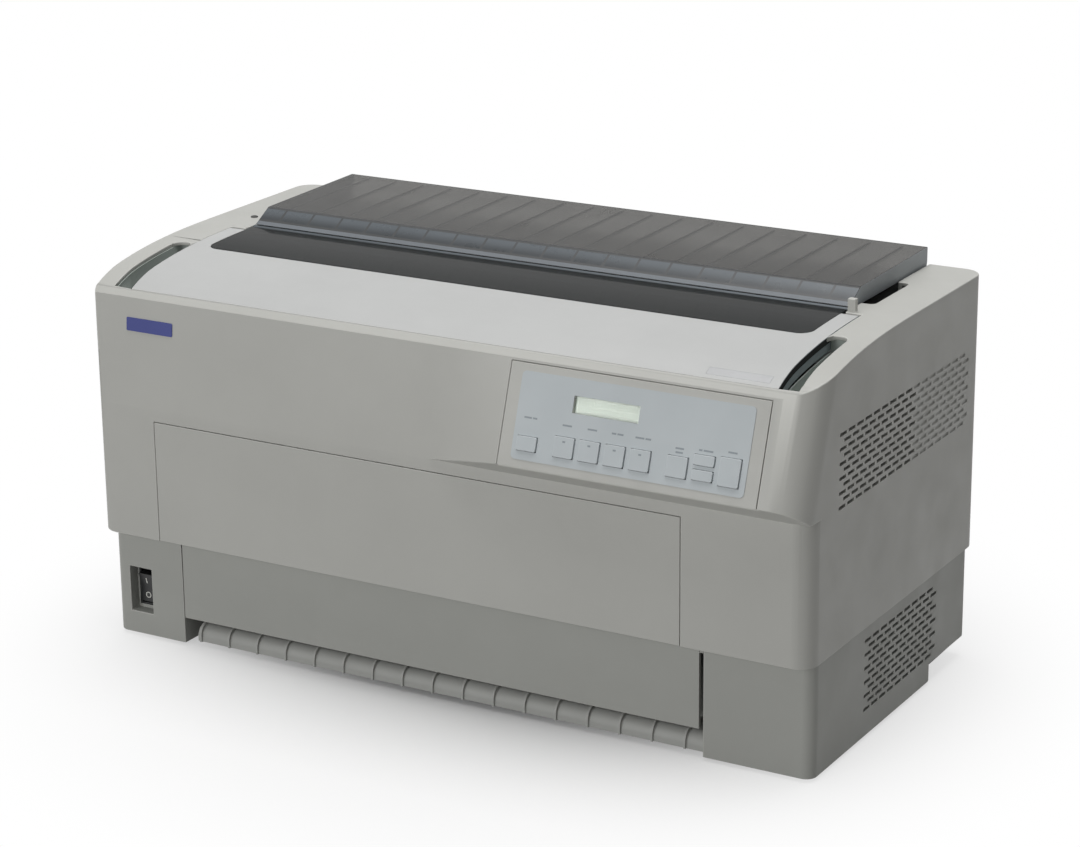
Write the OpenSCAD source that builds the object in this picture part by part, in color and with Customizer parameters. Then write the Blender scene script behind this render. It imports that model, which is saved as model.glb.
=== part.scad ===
// Wide dot matrix printer for continuous forms.
// X runs to the right, Y to the rear and Z up. The part stands on its rubber feet at Z 0,
// and the origin is below the middle of its overall width and depth.
// Inside this file, Y is counted from the flat front of the upper case, and placed() moves
// every piece back to the part's own origin.

/* [Upper case] */
// Width of the upper case
case_w = 700; // [660:1:740]
// Depth of the upper case from its flat front to its rear
case_d = 342; // [338:1:352]
// Height of the flat top above the table
case_h = 349; // [346:0.5:354]
// Height of the joint between lower and upper case
joint_z = 103; // [101:0.5:105]
// Wall thickness of the moulded shells
wall = 3.5; // [2.5:0.1:4]
// Radius of the upright corners of the upper case
corner_r = 18; // [14:0.5:22]
// Drop from the flat top to where the front starts to lean back
lean_drop = 124; // [120:1:129]
// How far the front leans back at its upper edge
front_lean = 8; // [6:0.5:9]
// Drop from the flat top to the upper edge of the front
brow_drop = 27; // [25:0.5:30]
// Depth of the bevelled brow behind that edge
brow_run = 5; // [4:0.5:6]
// Height of the bevelled brow
brow_rise = 9; // [7:0.5:11]
// Distance over which the arched top falls towards the brow
crown_run = 187; // [180:1:195]
// How late the arch turns down
crown_power = 2.86; // [2.6:0.02:3.1]

/* [Control corner] */
// How far the control corner stands out in front of the case
panel_reach = 20; // [16:0.5:24]
// Drop from the flat top to the lower edge of the control corner
edge_drop = 110; // [106:0.5:113]
// Width of the ramp that leads up to the control panel
panel_ramp_w = 77; // [60:1:90]
// Width of the control panel
panel_w = 234.5; // [228:0.5:240]
// Width of the case beside the control panel
panel_margin = 38; // [36:0.5:40]
// Radius of the large corner beside the control panel
panel_corner_r = 30; // [24:1:34]
// Thickness of the control panel
panel_t = 3; // [2.4:0.1:3.4]
// Groove round the control panel
groove = 0.6; // [0.4:0.1:1]
// Width of the label sheet
label_w = 210; // [206:0.5:214]
// Height of the label sheet
label_h = 72; // [69:0.5:74]
// Thickness of the label sheet
label_t = 0.5; // [0.3:0.1:0.8]
// Width of the display opening
lcd_w = 60; // [54:0.5:66]
// Height of the display opening
lcd_h = 14; // [11:0.5:15]
// Width of a key
key_w = 18; // [15:0.5:19]
// Height of a key in the row
key_h = 17; // [14:0.5:18]
// Distance between neighbouring keys
key_pitch = 23; // [21.5:0.5:23.5]
// How far a key stands out of the label sheet
key_rise = 1.8; // [1.5:0.1:3]
// Travel of a key
key_travel = 1; // [0.6:0.1:1.2]

/* [Lower case] */
// How far the lower case is set in at the sides
base_inset = 3; // [2:0.5:5]
// How far the lower case is set back at the front
base_set_back = 15.4; // [13.5:0.1:18]
// How far the lower case is set in at the rear
base_rear_inset = 9; // [7:0.5:12]
// Gap under the floor of the lower case
foot_gap = 3; // [2.5:0.1:4]
// Depth of the part of the base that reaches the feet
base_foot_d = 259; // [250:1:268]
// Height of the underside behind it
base_tail_z = 19.5; // [17:0.5:22]
// Diameter of a rubber foot
foot_d = 22; // [18:1:26]
// Width of the power switch recess
switch_w = 24; // [22:0.5:26]
// Height of the power switch recess
switch_h = 42.5; // [40:0.5:46]
// Depth of the power switch recess
switch_deep = 12; // [10:0.5:14]

/* [Doors and covers] */
// Gap round every door and cover
seam = 0.6; // [0.5:0.1:0.9]
// Distance from the left side of the case to the front door
door_margin = 66; // [60:1:72]
// Width of the front door opening
door_w = 519.5; // [505:0.5:526]
// Height of the upright front above the front door
above_door = 11; // [9:0.5:15]
// Thickness of the front door
door_t = 3.2; // [2.6:0.1:3.4]
// Distance from the left side of the base to the lower front cover
low_cover_margin = 75; // [72:0.5:80]
// Width of the lower front cover
low_cover_w = 517; // [508:0.5:519]
// Height of the lower edge of the lower front cover
low_cover_z = 27; // [26:0.5:30]
// Dark gap at the right end of the lower front cover
low_cover_gap = 4; // [3:0.5:6]
// Width of the case beside the top cover
lid_margin = 37.5; // [36:0.5:41]
// Distance of the front seam of the top cover from the flat front
lid_y0 = 15; // [14.5:0.1:17]
// Distance of the hinge axis of the top cover from the flat front
hinge_y = 163; // [161:0.5:165]
// Thickness of the top cover
lid_t = 3; // [2.4:0.1:3.4]
// Width of the top cover beside its window
window_margin = 16.5; // [15.5:0.5:20.5]
// Distance of the window's front edge from the flat front
window_y0 = 104; // [100:0.5:110]
// Width of the nameplate
nameplate_w = 56; // [48:1:64]
// Width of a finger slot beside the top cover
slot_w = 17; // [14:0.5:19]
// Length of a finger slot beside the top cover
slot_l = 94; // [86:1:100]
// Depth of a finger slot
slot_deep = 24; // [18:1:28]
// Width of the case beside the smoke paper cover
hood_margin = 53.5; // [53:0.5:56]
// How far the front edge of the paper cover's flat top stands above the case
hood_lift = 13; // [11:0.5:16]
// Distance of that front edge from the flat front of the case
hood_y = 203; // [200:0.5:207]
// Thickness of the paper cover
hood_t = 2.5; // [2:0.1:3]
// Pitch of the ribs on the paper cover, the exit guide and the lower paper guide
rib_pitch = 30.5; // [28:0.5:33]
// Thickness of these ribs
rib_t = 2; // [1.5:0.1:2.5]
// Width of the badge plate on the left of the front
badge_w = 49; // [44:0.5:54]
// Height of the badge plate
badge_h = 12; // [10:0.5:14]

/* [Side vents] */
// Number of slot rows in a vent
vent_rows = 11; // [9:1:12]
// Distance between slot rows
vent_row_pitch = 6.1; // [5.6:0.1:6.4]
// Height of a vent slot
vent_slot_h = 3; // [2.4:0.1:3.4]
// Length of a vent slot
vent_slot_l = 12.5; // [11:0.5:13]
// Distance between slots in a row
vent_slot_pitch = 16; // [15:0.5:17]
// Number of open slots in a row
vent_columns = 9; // [7:1:9]
// Number of blind slots behind them in a row of the upper vent
blind_columns = 7; // [5:1:7]
// Depth of a blind slot
blind_deep = 1.2; // [0.8:0.1:1.6]

/* [Print mechanism] */
// Distance from the side of the case to a side frame
frame_margin = 50; // [46:0.5:54]
// Thickness of the steel side frames
frame_t = 3; // [2:0.5:4]
// Radius of the platen roller
platen_r = 20; // [18:0.5:21]
// Length of the platen roller
platen_l = 460; // [430:5:480]
// Radius of the platen shaft
platen_shaft_r = 6; // [5:0.5:7]
// Radius of the two carriage rails
rail_r = 6; // [5:0.5:6.5]
// Width of the carriage
carriage_w = 62; // [54:1:68]
// Travel of the carriage to each side
carriage_travel = 200; // [180:5:203]
// Pitch radius of the pulleys of the carriage belt
pulley_r = 10; // [9:0.5:11]
// Width of the carriage belt
belt_w = 6; // [5:0.5:7]
// Thickness of the carriage belt
belt_t = 1.6; // [1.2:0.1:2]
// Teeth of the platen gear and of the tractor gear
big_teeth = 60; // [59:1:60]
// Teeth of the feed motor's pinion
pinion_teeth = 24; // [23:1:25]
// Module of the feed gears
gear_module = 1.5; // [1.48:0.01:1.5]
// Width of the feed gears
gear_w = 8; // [6:0.5:9]
// Length of the ribbon cartridge
ribbon_l = 510; // [500:1:514]
// Width of the inked ribbon
ribbon_w = 12.8; // [12:0.1:14]

/* [Tractors] */
// Distance of a tractor from the middle of the print line
tractor_reach = 195; // [190:0.5:200]
// Tilt of the tractors from the level
tractor_tilt = 50; // [46:1:54]
// Length of a tractor
tractor_l = 80; // [78:1:84]
// Width of a tractor's housing
tractor_w = 26; // [24:0.5:28]
// Depth of a tractor's housing
tractor_deep = 18; // [17:0.5:20]
// Distance between the tractor pins, along the form's edge holes
pin_pitch = 12.7; // [12.6:0.1:12.8]
// Radius of a tractor pin
pin_r = 1.9; // [1.6:0.1:2]
// Radius of the tractor guide rod
guide_rod_r = 4; // [3.5:0.5:4.5]
// Side of the square tractor shaft
square_shaft = 7; // [6:0.5:7.5]
// Radius of the bore for the square shaft
square_bore_r = 5.6; // [5.5:0.1:5.8]

/* [Fan] */
// Side of the square fan
fan_side = 80; // [76:1:84]
// Thickness of the fan
fan_t = 22; // [20:1:25]
// Number of fan blades
fan_blades = 7; // [5:1:9]

/* [Fits] */
// Radial clearance of a pin or shaft that turns in a bore
run_fit = 0.06; // [0.03:0.01:0.09]
// Gap between neighbouring pieces
gap = 0.3; // [0.25:0.05:0.4]

/* [Hidden] */
$fn = 48;

// Sides and middle of the whole part
case_x = case_w / 2;
middle_y = (case_d - panel_reach) / 2;
inner_x = case_x - wall;
frame_x = case_x - frame_margin;

// Points of the side outline
lean_z = case_h - lean_drop;
brow_z = case_h - brow_drop;
edge_z = case_h - edge_drop;
brow_y = front_lean + brow_run;
crown_y = brow_y + crown_run;
crown_drop = brow_drop - brow_rise;
// The arched top is built of flat strips, and every piece that follows it shares their edges
crown_steps = 14;
crown_step = crown_run / crown_steps;
crown_ys = [for (i = [0:crown_steps]) brow_y + crown_step * i];
far = 60;

// Control corner and the tilted plane of the control panel
panel_x1 = case_x - panel_margin;
panel_x0 = panel_x1 - panel_w;
ramp_x0 = panel_x0 - panel_ramp_w;
panel_rise = brow_z - edge_z;
panel_tilt = atan2(front_lean + panel_reach, panel_rise);
panel_len = sqrt(pow(front_lean + panel_reach, 2) + pow(panel_rise, 2));
panel_top = panel_len - 2;
seat_w = 6;
ledge_slope = (edge_z - lean_z) / panel_reach;
label_x0 = panel_x0 + (panel_w - label_w) / 2;
label_s0 = (panel_len - label_h) / 2 - 1;
lcd_x = label_x0 + 80;
lcd_s = label_s0 + 51;

// Keys, left to right: middle across, middle up the face, width and height
row_s = label_s0 + 15.5;
row_x = label_x0 + 47.5;
KEYS = [
  [label_x0 + 13.5, row_s - 2, key_w, key_h - 5],
  [row_x, row_s, key_w, key_h],
  [row_x + key_pitch, row_s, key_w, key_h],
  [row_x + 2 * key_pitch, row_s, key_w, key_h],
  [row_x + 3 * key_pitch, row_s, key_w, key_h],
  [row_x + 102, row_s, key_w, key_h],
  [row_x + 102 + key_pitch, row_s + 8.5, key_w, key_h / 2],
  [row_x + 102 + key_pitch, row_s - 3.5, key_w, key_h / 2],
  [row_x + 102 + 2 * key_pitch, row_s + 2.5, key_w, key_h + 6]
];
key_flange = 1.2;
board_gap = 6.5;
board_t = 1.6;
switch_rise = 1.1;

// Lower case
base_x = case_x - base_inset;
base_y0 = base_set_back;
base_y1 = case_d - base_rear_inset;
base_r = 10;
floor_z = foot_gap + wall;
tail_floor_z = base_tail_z + wall;
chassis_z = tail_floor_z + 3;
chassis_t = 2;

// Door, covers and their hinge axes
door_x0 = -case_x + door_margin;
door_x1 = door_x0 + door_w;
door_z1 = lean_z - above_door;
door_pin_r = 2;
door_axis_y = 4.5;
door_axis_z = joint_z + 4.9;
low_x0 = -base_x + low_cover_margin;
low_x1 = low_x0 + low_cover_w;
low_open_x1 = low_x1 + low_cover_gap;
low_z1 = joint_z - 3;
low_pin_r = 1.2;
low_axis_y = base_y0 + wall / 2;
low_axis_z = low_z1 - 5;
guide_x0 = low_x0 + 10;
guide_x1 = low_open_x1;
guide_y1 = base_y0 + 42;
supply_y0 = guide_y1 + 26;
tray_gap = 22;
lid_x = case_x - lid_margin;
lid_pin_r = 2.2;
lid_boss_r = 5.3;
hinge_z = crown_z(hinge_y) - lid_boss_r;
lid_y1 = hinge_y + lid_boss_r;
notch_y = lid_y1 + seam;
window_x = lid_x - window_margin;
window_y1 = hinge_y + 13;
window_t = 3;
window_r = 12;
slot_x0 = lid_x + seam;
slot_y0 = lid_y0 + 1;
hood_x = case_x - hood_margin;
hood_z = case_h + hood_lift;
hood_open_x = hood_x + 2;
hood_lip_y = hood_y - 21;
hood_lip_z = hood_z - 12;
hood_rise = 1.8;
hood_pin_r = 2.5;
hood_axis_y = case_d - 8;
hood_axis_z = case_h - 8;
hood_open_y = notch_y;
rear_edge_z = case_h - 18;
web_t = 3.5;
web_deep = 18;

// Print mechanism, seen from the side
mech_x = (door_x0 + door_x1) / 2 + 11;
platen_y = 165;
platen_z = case_h - 66;
rail_ys = [75, 118];
rail_zs = [platen_z - 33, platen_z - 31];
bed_z = rail_zs[0] + rail_r + 5;
belt_y = 58;
belt_z = platen_z - 17;
motor_top_z = belt_z - 26;
motor_bore = 17;
motor_shaft_r = 3;
pulley_x = frame_x - 36;
nose_y = platen_y - platen_r - 2.2;
frame_z0 = chassis_z + chassis_t;
frame_z1 = case_h - 24;
frame_y0 = 44;
frame_y1 = case_d - 14;

// Tractors: their plane starts at this point and rises to the rear
tractor_y = 50;
tractor_z = platen_z - 143;
axis_w = -tractor_deep / 2;
tractor_shaft_s = tractor_l - 18;
tractor_rod_s = 18;
left_tractor_x = mech_x - tractor_reach;
right_tractor_x = mech_x + tractor_reach;
flap_hinge_x = tractor_w / 2 + 2.2;
flap_hinge_w = 2.4;
shaft_y = tractor_y + tractor_shaft_s * cos(tractor_tilt) - axis_w * sin(tractor_tilt);
shaft_z = tractor_z + tractor_shaft_s * sin(tractor_tilt) + axis_w * cos(tractor_tilt);
rod_y = tractor_y + tractor_rod_s * cos(tractor_tilt) - axis_w * sin(tractor_tilt);
rod_z = tractor_z + tractor_rod_s * sin(tractor_tilt) + axis_w * cos(tractor_tilt);

// Feed gears: the pinion meshes with the platen gear and the tractor gear
big_r = big_teeth * gear_module / 2;
pinion_r = pinion_teeth * gear_module / 2;
gear_centres = big_r + pinion_r;
axis_gap = sqrt(pow(platen_y - shaft_y, 2) + pow(platen_z - shaft_z, 2));
axis_angle = atan2(platen_z - shaft_z, platen_y - shaft_y);
pinion_turn = acos(axis_gap / 2 / gear_centres);
pinion_y = shaft_y + gear_centres * cos(axis_angle - pinion_turn);
pinion_z = shaft_z + gear_centres * sin(axis_angle - pinion_turn);
gear_x = -frame_x - frame_t - 3;

// Ribbon cartridge
ribbon_x0 = mech_x - ribbon_l / 2;
ribbon_x1 = mech_x + ribbon_l / 2;
ribbon_y0 = 36;
ribbon_y1 = 76;
ribbon_z0 = platen_z + 4;
ribbon_z1 = platen_z + 26;
ribbon_knob_x = ribbon_x0 + 62;

// Fan behind the open part of the upper side vent
vent_y0 = 50;
vent_z0 = lean_z - 2.5;
low_vent_y0 = 114;
low_vent_z0 = 25.8;
fan_y = vent_y0 + vent_columns * vent_slot_pitch / 2;
fan_z = vent_z0 + vent_rows * vent_row_pitch / 2;
fan_hub_r = 18;
fan_x1 = inner_x;

// Power switch, mains inlet and connectors
switch_x = -base_x + 16 + switch_w / 2;
switch_z = 24 + switch_h / 2;
rocker_w = 15;
rocker_h = 29;
rocker_axis_y = base_y0 + switch_deep + 4;
panel_plate_y = base_y1 - wall;
inlet_x = -base_x + 62;
inlet_z = 64;
port_x = base_x - 150;
port_z = 64;
small_port_x = port_x + 82;

function curve_z(y) = case_h - crown_drop * pow(max(crown_y - y, 0) / crown_run, crown_power);
function strip_z(y, y0) = curve_z(y0) + (curve_z(y0 + crown_step) - curve_z(y0)) * (y - y0) / crown_step;
function crown_z(y) = strip_z(y, brow_y + crown_step * floor((y - brow_y) / crown_step));

module placed() {
  translate([0, -middle_y, 0])
    children();
}

// Extrudes a side view, drawn as (y, z), from x0 to x1
module along_x(x0, x1) {
  translate([x0, 0, 0])
    rotate([90, 0, 90])
      linear_extrude(height = x1 - x0)
        children();
}

// A round bar along X between x0 and x1
module bar_x(x0, x1, y, z, r) {
  translate([x0, y, z])
    rotate([0, 90, 0])
      cylinder(r = r, h = x1 - x0);
}

module both_sides() {
  children();
  mirror([1, 0, 0])
    children();
}

module box(x0, x1, y0, y1, z0, z1) {
  translate([x0, y0, z0])
    cube([x1 - x0, y1 - y0, z1 - z0]);
}

// A block from y0 to y1 about the point x, z
module block(x, z, half_w, half_h, y0, y1) {
  box(x - half_w, x + half_w, y0, y1, z - half_h, z + half_h);
}

// On the control panel, a block from z0 to z1 about the point x, s
module panel_block(x, s, w, h, z0, z1) {
  box(x - w / 2, x + w / 2, s - h / 2, s + h / 2, z0, z1);
}

// A plan outline whose front corners are rounded and whose rear corners may be
module plan(x0, x1, y0, y1, r_left, r_right) {
  translate([x0 + r_left, y0])
    square([x1 - x0 - r_left - r_right, y1 - y0]);
  translate([x0, y0 + r_left])
    square([r_left + 1, y1 - y0 - r_left]);
  translate([x1 - r_right - 1, y0 + r_right])
    square([r_right + 1, y1 - y0 - r_right]);
  if (r_left > 0)
    translate([x0 + r_left, y0 + r_left])
      circle(r = r_left);
  if (r_right > 0)
    translate([x1 - r_right, y0 + r_right])
      circle(r = r_right);
}

module round_plan(x0, x1, y0, y1, r) {
  intersection() {
    plan(x0, x1, y0, y1 + r, r, r);
    translate([0, y0 + y1])
      mirror([0, 1])
        plan(x0, x1, y0, y1 + r, r, r);
  }
}

// A strip that follows the arched top from y0 to y1, between two depths below the surface
module crown_strip(y0, y1, top, bottom) {
  ys = concat([y0], [for (y = crown_ys) if (y > y0 + 0.01 && y < y1 - 0.01) y], [y1]);
  last = len(ys) - 1;
  polygon(concat(
    [for (y = ys) [y, crown_z(y) - top]],
    [for (i = [0:last]) [ys[last - i], crown_z(ys[last - i]) - bottom]]
  ));
}

// Moves a piece that is drawn flat onto the tilted control panel: X across, Y up the face,
// Z outwards
module on_panel() {
  translate([0, -panel_reach, edge_z])
    rotate([90 - panel_tilt, 0, 0])
      children();
}

// Moves a piece onto the tractor plane: X across, Y along the form's way, Z towards the pins
module on_tractor() {
  translate([0, tractor_y, tractor_z])
    rotate([tractor_tilt, 0, 0])
      children();
}

// Outer form of the upper case, drawn in by t for the space inside it
module side_outline(t) {
  brow_slope = brow_rise / brow_run;
  along_x(-case_x + t, case_x - t)
    polygon(concat(
      [[-far, joint_z - t], [-far, brow_z - (front_lean + far) * brow_slope - 2 * t]],
      [for (y = crown_ys) [y, curve_z(y) - t]],
      [[case_d - t, case_h - t], [case_d - t, joint_z - t]]
    ));
}

module ramp_side(t) {
  up = [0, front_lean, brow_z - lean_z] / norm([0, front_lean, brow_z - lean_z]);
  across = [panel_ramp_w, -panel_reach, edge_z - lean_z];
  out = cross(up, across) / norm(cross(up, across));
  side = cross(up, out);
  multmatrix([
    [side[0], up[0], out[0], ramp_x0],
    [side[1], up[1], out[1], 0],
    [side[2], up[2], out[2], lean_z],
    [0, 0, 0, 1]
  ])
    mirror([0, 0, out[1] < 0 ? 0 : 1])
      translate([-case_w, -case_w, -case_w])
        cube([2 * case_w, 2 * case_w, case_w - t]);
}

module control_corner(t) {
  ledge_in = t * sqrt(1 + ledge_slope * ledge_slope);
  intersection() {
    translate([0, -panel_reach, edge_z])
      rotate([-panel_tilt, 0, 0])
        translate([0, 0, -far])
          linear_extrude(height = panel_len + 2 * far)
            plan(ramp_x0, case_x - t, t, case_d, 0, panel_corner_r - t);
    along_x(ramp_x0, case_x)
      polygon([
        [t, lean_z - t],
        [t, lean_z - t * ledge_slope + ledge_in],
        [-far, lean_z + far * ledge_slope + ledge_in],
        [-far, case_h + far],
        [case_d / 2, case_h + far],
        [case_d / 2, lean_z - t]
      ]);
    ramp_side(t);
  }
}

module upper_form(t) {
  lean_rate = front_lean / (brow_z - lean_z);
  intersection() {
    side_outline(t);
    translate([0, 0, joint_z - t])
      linear_extrude(height = case_h)
        translate([0, case_d])
          mirror([0, 1])
            plan(-case_x + t, case_x - t, t, case_d + far, corner_r - t, corner_r - t);
    union() {
      translate([0, 0, joint_z - t])
        linear_extrude(height = lean_z - joint_z + t)
          plan(-case_x + t, case_x - t, t, case_d + far, corner_r - t, corner_r - t);
      intersection() {
        translate([0, 0, lean_z - t])
          linear_extrude(height = case_h)
            plan(-case_x + t, panel_x1, t, case_d + far, corner_r - t, 0);
        along_x(-case_x, panel_x1)
          polygon([
            [t, lean_z - t],
            [t, lean_z],
            [t + lean_rate * (case_h - lean_z), case_h],
            [case_d + far, case_h],
            [case_d + far, lean_z - t]
          ]);
      }
      control_corner(t);
      translate([0, 0, lean_z - t])
        linear_extrude(height = case_h)
          plan(panel_x1 - 1, case_x - t, case_d / 4, case_d + far, 0, 0);
    }
  }
}

module vent_slots(x, y0, z0, columns) {
  for (row = [0:vent_rows - 1])
    for (column = [0:columns - 1])
      translate([x, y0 + vent_slot_pitch * (column + (row % 2) / 2), z0 + vent_row_pitch * row])
        cube([wall + 2, vent_slot_l, vent_slot_h]);
}

// Pieces of the case

module upper_case() {
  boss_x = 6;
  slot_r = slot_w / 2;
  stop_d = 4;
  placed()
    color([0.6, 0.6, 0.58])
      difference() {
        union() {
          difference() {
            upper_form(0);
            upper_form(wall);
            // opening under the top cover
            box(-lid_x - seam, lid_x + seam, lid_y0, notch_y, lean_z + far, case_h + 1);
            // opening under the paper cover, with the rear wall cut down for the form
            box(-hood_open_x, hood_open_x, hood_open_y - 1, case_d + 1, rear_edge_z, case_h + 1);
            // opening of the front door
            box(door_x0, door_x1, -1, wall + 1, joint_z - 1, door_z1);
            // opening of the control panel
            on_panel() {
              translate([panel_x0, -far / 2, -panel_t])
                cube([panel_w, far / 2 + panel_top, panel_t + 6]);
              panel_window();
            }
            // finger slots
            for (side = [-1, 1])
              translate([side * (slot_x0 + slot_r), 0, lean_z + far])
                linear_extrude(height = case_h) {
                  translate([-slot_r - 1, slot_y0])
                    square([slot_w + 1, slot_l - slot_r]);
                  translate([0, slot_y0 + slot_l - slot_r])
                    circle(r = slot_r);
                }
          }
          // flange that stands on the rim of the lower case
          difference() {
            box(-inner_x - 1, inner_x + 1, wall - 1, case_d - wall + 1, joint_z, joint_z + 3);
            box(-base_x + 9, base_x - 9, base_y0 + 7, base_y1 - 9, joint_z - 1, joint_z + 4);
            box(door_x0, door_x1, 0, base_y0 - 3, joint_z - 1, joint_z + 4);
            corner_gaps();
          }
          // strip that stops the front door at its upper edge
          box(door_x0 - 4, door_x1 + 4, wall - 0.5, wall + 3, door_z1, door_z1 + stop_d);
          box(door_x0 - 4, door_x1 + 4, wall, wall + 3, door_z1 - stop_d, door_z1 + 1);
          // bosses for the pins of the front door
          for (x = [door_x0 - boss_x, door_x1])
            box(x, x + boss_x, wall - 0.5, door_axis_y + 6, joint_z + 1, joint_z + 12);
          // strip that carries the front edge of the top cover
          along_x(-lid_x, lid_x)
            crown_strip(lid_y0 - 4, lid_y0 + 5, lid_t + gap, lid_t + 6);
          // webs beside the openings in the top
          both_sides() {
            web_x = lid_x + seam;
            along_x(web_x, web_x + web_t)
              crown_strip(slot_y0 + slot_l + 3, notch_y + web_t, 2, web_deep);
            box(hood_open_x, web_x + web_t, notch_y, notch_y + web_t, case_h - web_deep, case_h - 2);
            box(hood_open_x, hood_open_x + web_t, notch_y, case_d - 2, case_h - web_deep, case_h - 2);
          }
          panel_seat();
          // stop post beside the lip of the paper cover
          box(hood_open_x + 0.5, hood_open_x + 7.5, notch_y + 3, notch_y + 8, case_h - 2, hood_z - 2);
        }
        door_pins(run_fit);
        lid_pins(run_fit);
        hood_pins(run_fit);
        // slot beside the paper cover for lifting it
        translate([hood_open_x, hood_y - 2, case_h - 20])
          linear_extrude(height = far)
            round_plan(-5, 11, 0, 74, 5);
        vent_slots(case_x - wall - 1, vent_y0, vent_z0, vent_columns);
        vent_slots(case_x - blind_deep, vent_y0 + vent_columns * vent_slot_pitch, vent_z0, blind_columns);
      }
}

module corner_gaps() {
  for (x = [-case_x, case_x])
    for (y = [0, case_d])
      translate([x, y, joint_z - 1])
        rotate([0, 0, 45])
          cube([corner_r, corner_r, 10], center = true);
}

// Frame behind the control panel, which the panel is screwed to
module panel_seat() {
  on_panel()
    difference() {
      translate([panel_x0 - seat_w, 1, -panel_t - 2.5])
        cube([panel_w + 2 * seat_w, panel_top - 2, 2.5]);
      panel_window();
    }
}

module panel_window() {
  translate([panel_x0 + seat_w, 1 + seat_w, -far / 2])
    cube([panel_w - 2 * seat_w, panel_top - 2 - 2 * seat_w, far]);
}

module lower_case() {
  half_w = switch_w / 2;
  half_h = switch_h / 2;
  rear_open_x = base_x - 20;
  placed()
    color([0.53, 0.53, 0.51])
      difference() {
        union() {
          difference() {
            base_form(0);
            base_form(wall);
            // the front is open behind the lower front cover and the paper guide
            box(low_x0, low_open_x1, 0, guide_y1 + wall, 0, low_z1);
            // opening for the rear panel
            box(-rear_open_x, rear_open_x, base_y1 - 10, base_y1 + 1, tail_floor_z + 8, joint_z - 8);
          }
          // inner walls that close the lower shell round the paper's way in
          difference() {
            box(low_x0 - wall, low_open_x1 + wall, base_y0 + 1, guide_y1 + wall,
              foot_gap, low_z1 + 0.5);
            box(low_x0, low_open_x1, 0, guide_y1, 0, case_h);
            box(low_x0, low_open_x1, guide_y1, case_d, chassis_z, case_h);
          }
          // rim under the flange of the upper case
          difference() {
            box(-base_x + 1, base_x - 1, base_y0 + 1, base_y1 - 1, low_z1, joint_z);
            box(-base_x + 9, base_x - 9, base_y0 + 7, base_y1 - 9, 0, case_h);
          }
          // pocket of the power switch
          block(switch_x, switch_z, half_w + 2.5, half_h + 2.5, base_y0 + 1, base_y0 + switch_deep + 2.5);
          chassis_posts();
        }
        block(switch_x, switch_z, half_w, half_h, 0, base_y0 + switch_deep);
        // cut-out for the switch body
        block(switch_x, switch_z, half_w - 2, half_h - 3, 0, base_y0 + far);
        low_cover_pins(run_fit);
        foot_places()
          cylinder(d = foot_d + gap, h = 1);
        vent_slots(base_x - wall - 1, low_vent_y0, low_vent_z0, vent_columns);
      }
}

// The lower shell and, drawn in by t, the space inside it
module base_form(t) {
  rise = t > 0 ? far : 0;
  translate([0, 0, base_tail_z + t])
    linear_extrude(height = joint_z - base_tail_z - t + rise)
      round_plan(-base_x + t, base_x - t, base_y0 + t, base_y1 - t, base_r - t);
  translate([0, 0, foot_gap + t])
    linear_extrude(height = joint_z - foot_gap - t - 1 + rise)
      round_plan(-base_x + t, base_x - t, base_y0 + t, base_foot_d - t, base_r - t);
}

module foot_places() {
  for (x = [-base_x + 30, base_x - 30])
    for (y = [base_y0 + 26, base_foot_d - 26])
      translate([x, y, foot_gap])
        children();
}

module chassis_posts() {
  for (x = [-frame_x + 12, frame_x - 12]) {
    for (y = [guide_y1 + 22, base_foot_d - 20])
      translate([x, y, foot_gap + 1])
        cylinder(r = 7, h = chassis_z - foot_gap - 1);
    translate([x, base_y1 - 30, base_tail_z + 1])
      cylinder(r = 7, h = chassis_z - base_tail_z - 1);
  }
}

module rubber_feet() {
  placed()
    color([0.12, 0.12, 0.12])
      foot_places()
        translate([0, 0, -foot_gap]) {
          cylinder(d1 = foot_d - 2, d2 = foot_d, h = foot_gap);
          cylinder(d = foot_d, h = foot_gap + 0.9);
        }
}

// Dark trays under the finger slots, open towards the edge of the top cover
module finger_slot_liners() {
  tray_t = 2;
  placed()
    color([0.2, 0.23, 0.24])
      intersection() {
        both_sides()
          difference() {
            along_x(slot_x0, slot_x0 + slot_w + tray_t)
              crown_strip(slot_y0 - tray_t, slot_y0 + slot_l + tray_t, wall, slot_deep + tray_t);
            along_x(slot_x0 - 1, slot_x0 + slot_w)
              crown_strip(slot_y0, slot_y0 + slot_l, 0, slot_deep);
          }
        upper_form(wall);
      }
}

// Hinge pins of the covers, made larger by a clearance for their bores

module door_pins(fit) {
  depth = 4;
  bar_x(door_x0 - depth - fit, door_x0 + 3, door_axis_y, door_axis_z, door_pin_r + fit);
  bar_x(door_x1 - 3, door_x1 + depth + fit, door_axis_y, door_axis_z, door_pin_r + fit);
}

module low_cover_pins(fit) {
  depth = 2.5;
  bar_x(low_x0 - depth - fit, low_x0 + 3, low_axis_y, low_axis_z, low_pin_r + fit);
  bar_x(low_x1 - 3, low_open_x1 + depth + fit, low_axis_y, low_axis_z, low_pin_r + fit);
}

module lid_pins(fit) {
  depth = 3;
  both_sides()
    bar_x(lid_x - 3, lid_x + seam + depth + fit, hinge_y, hinge_z, lid_pin_r + fit);
}

module hood_pins(fit) {
  depth = 3;
  both_sides()
    bar_x(hood_x - 2, hood_open_x + depth + fit, hood_axis_y, hood_axis_z, hood_pin_r + fit);
}

// Doors and covers

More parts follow.
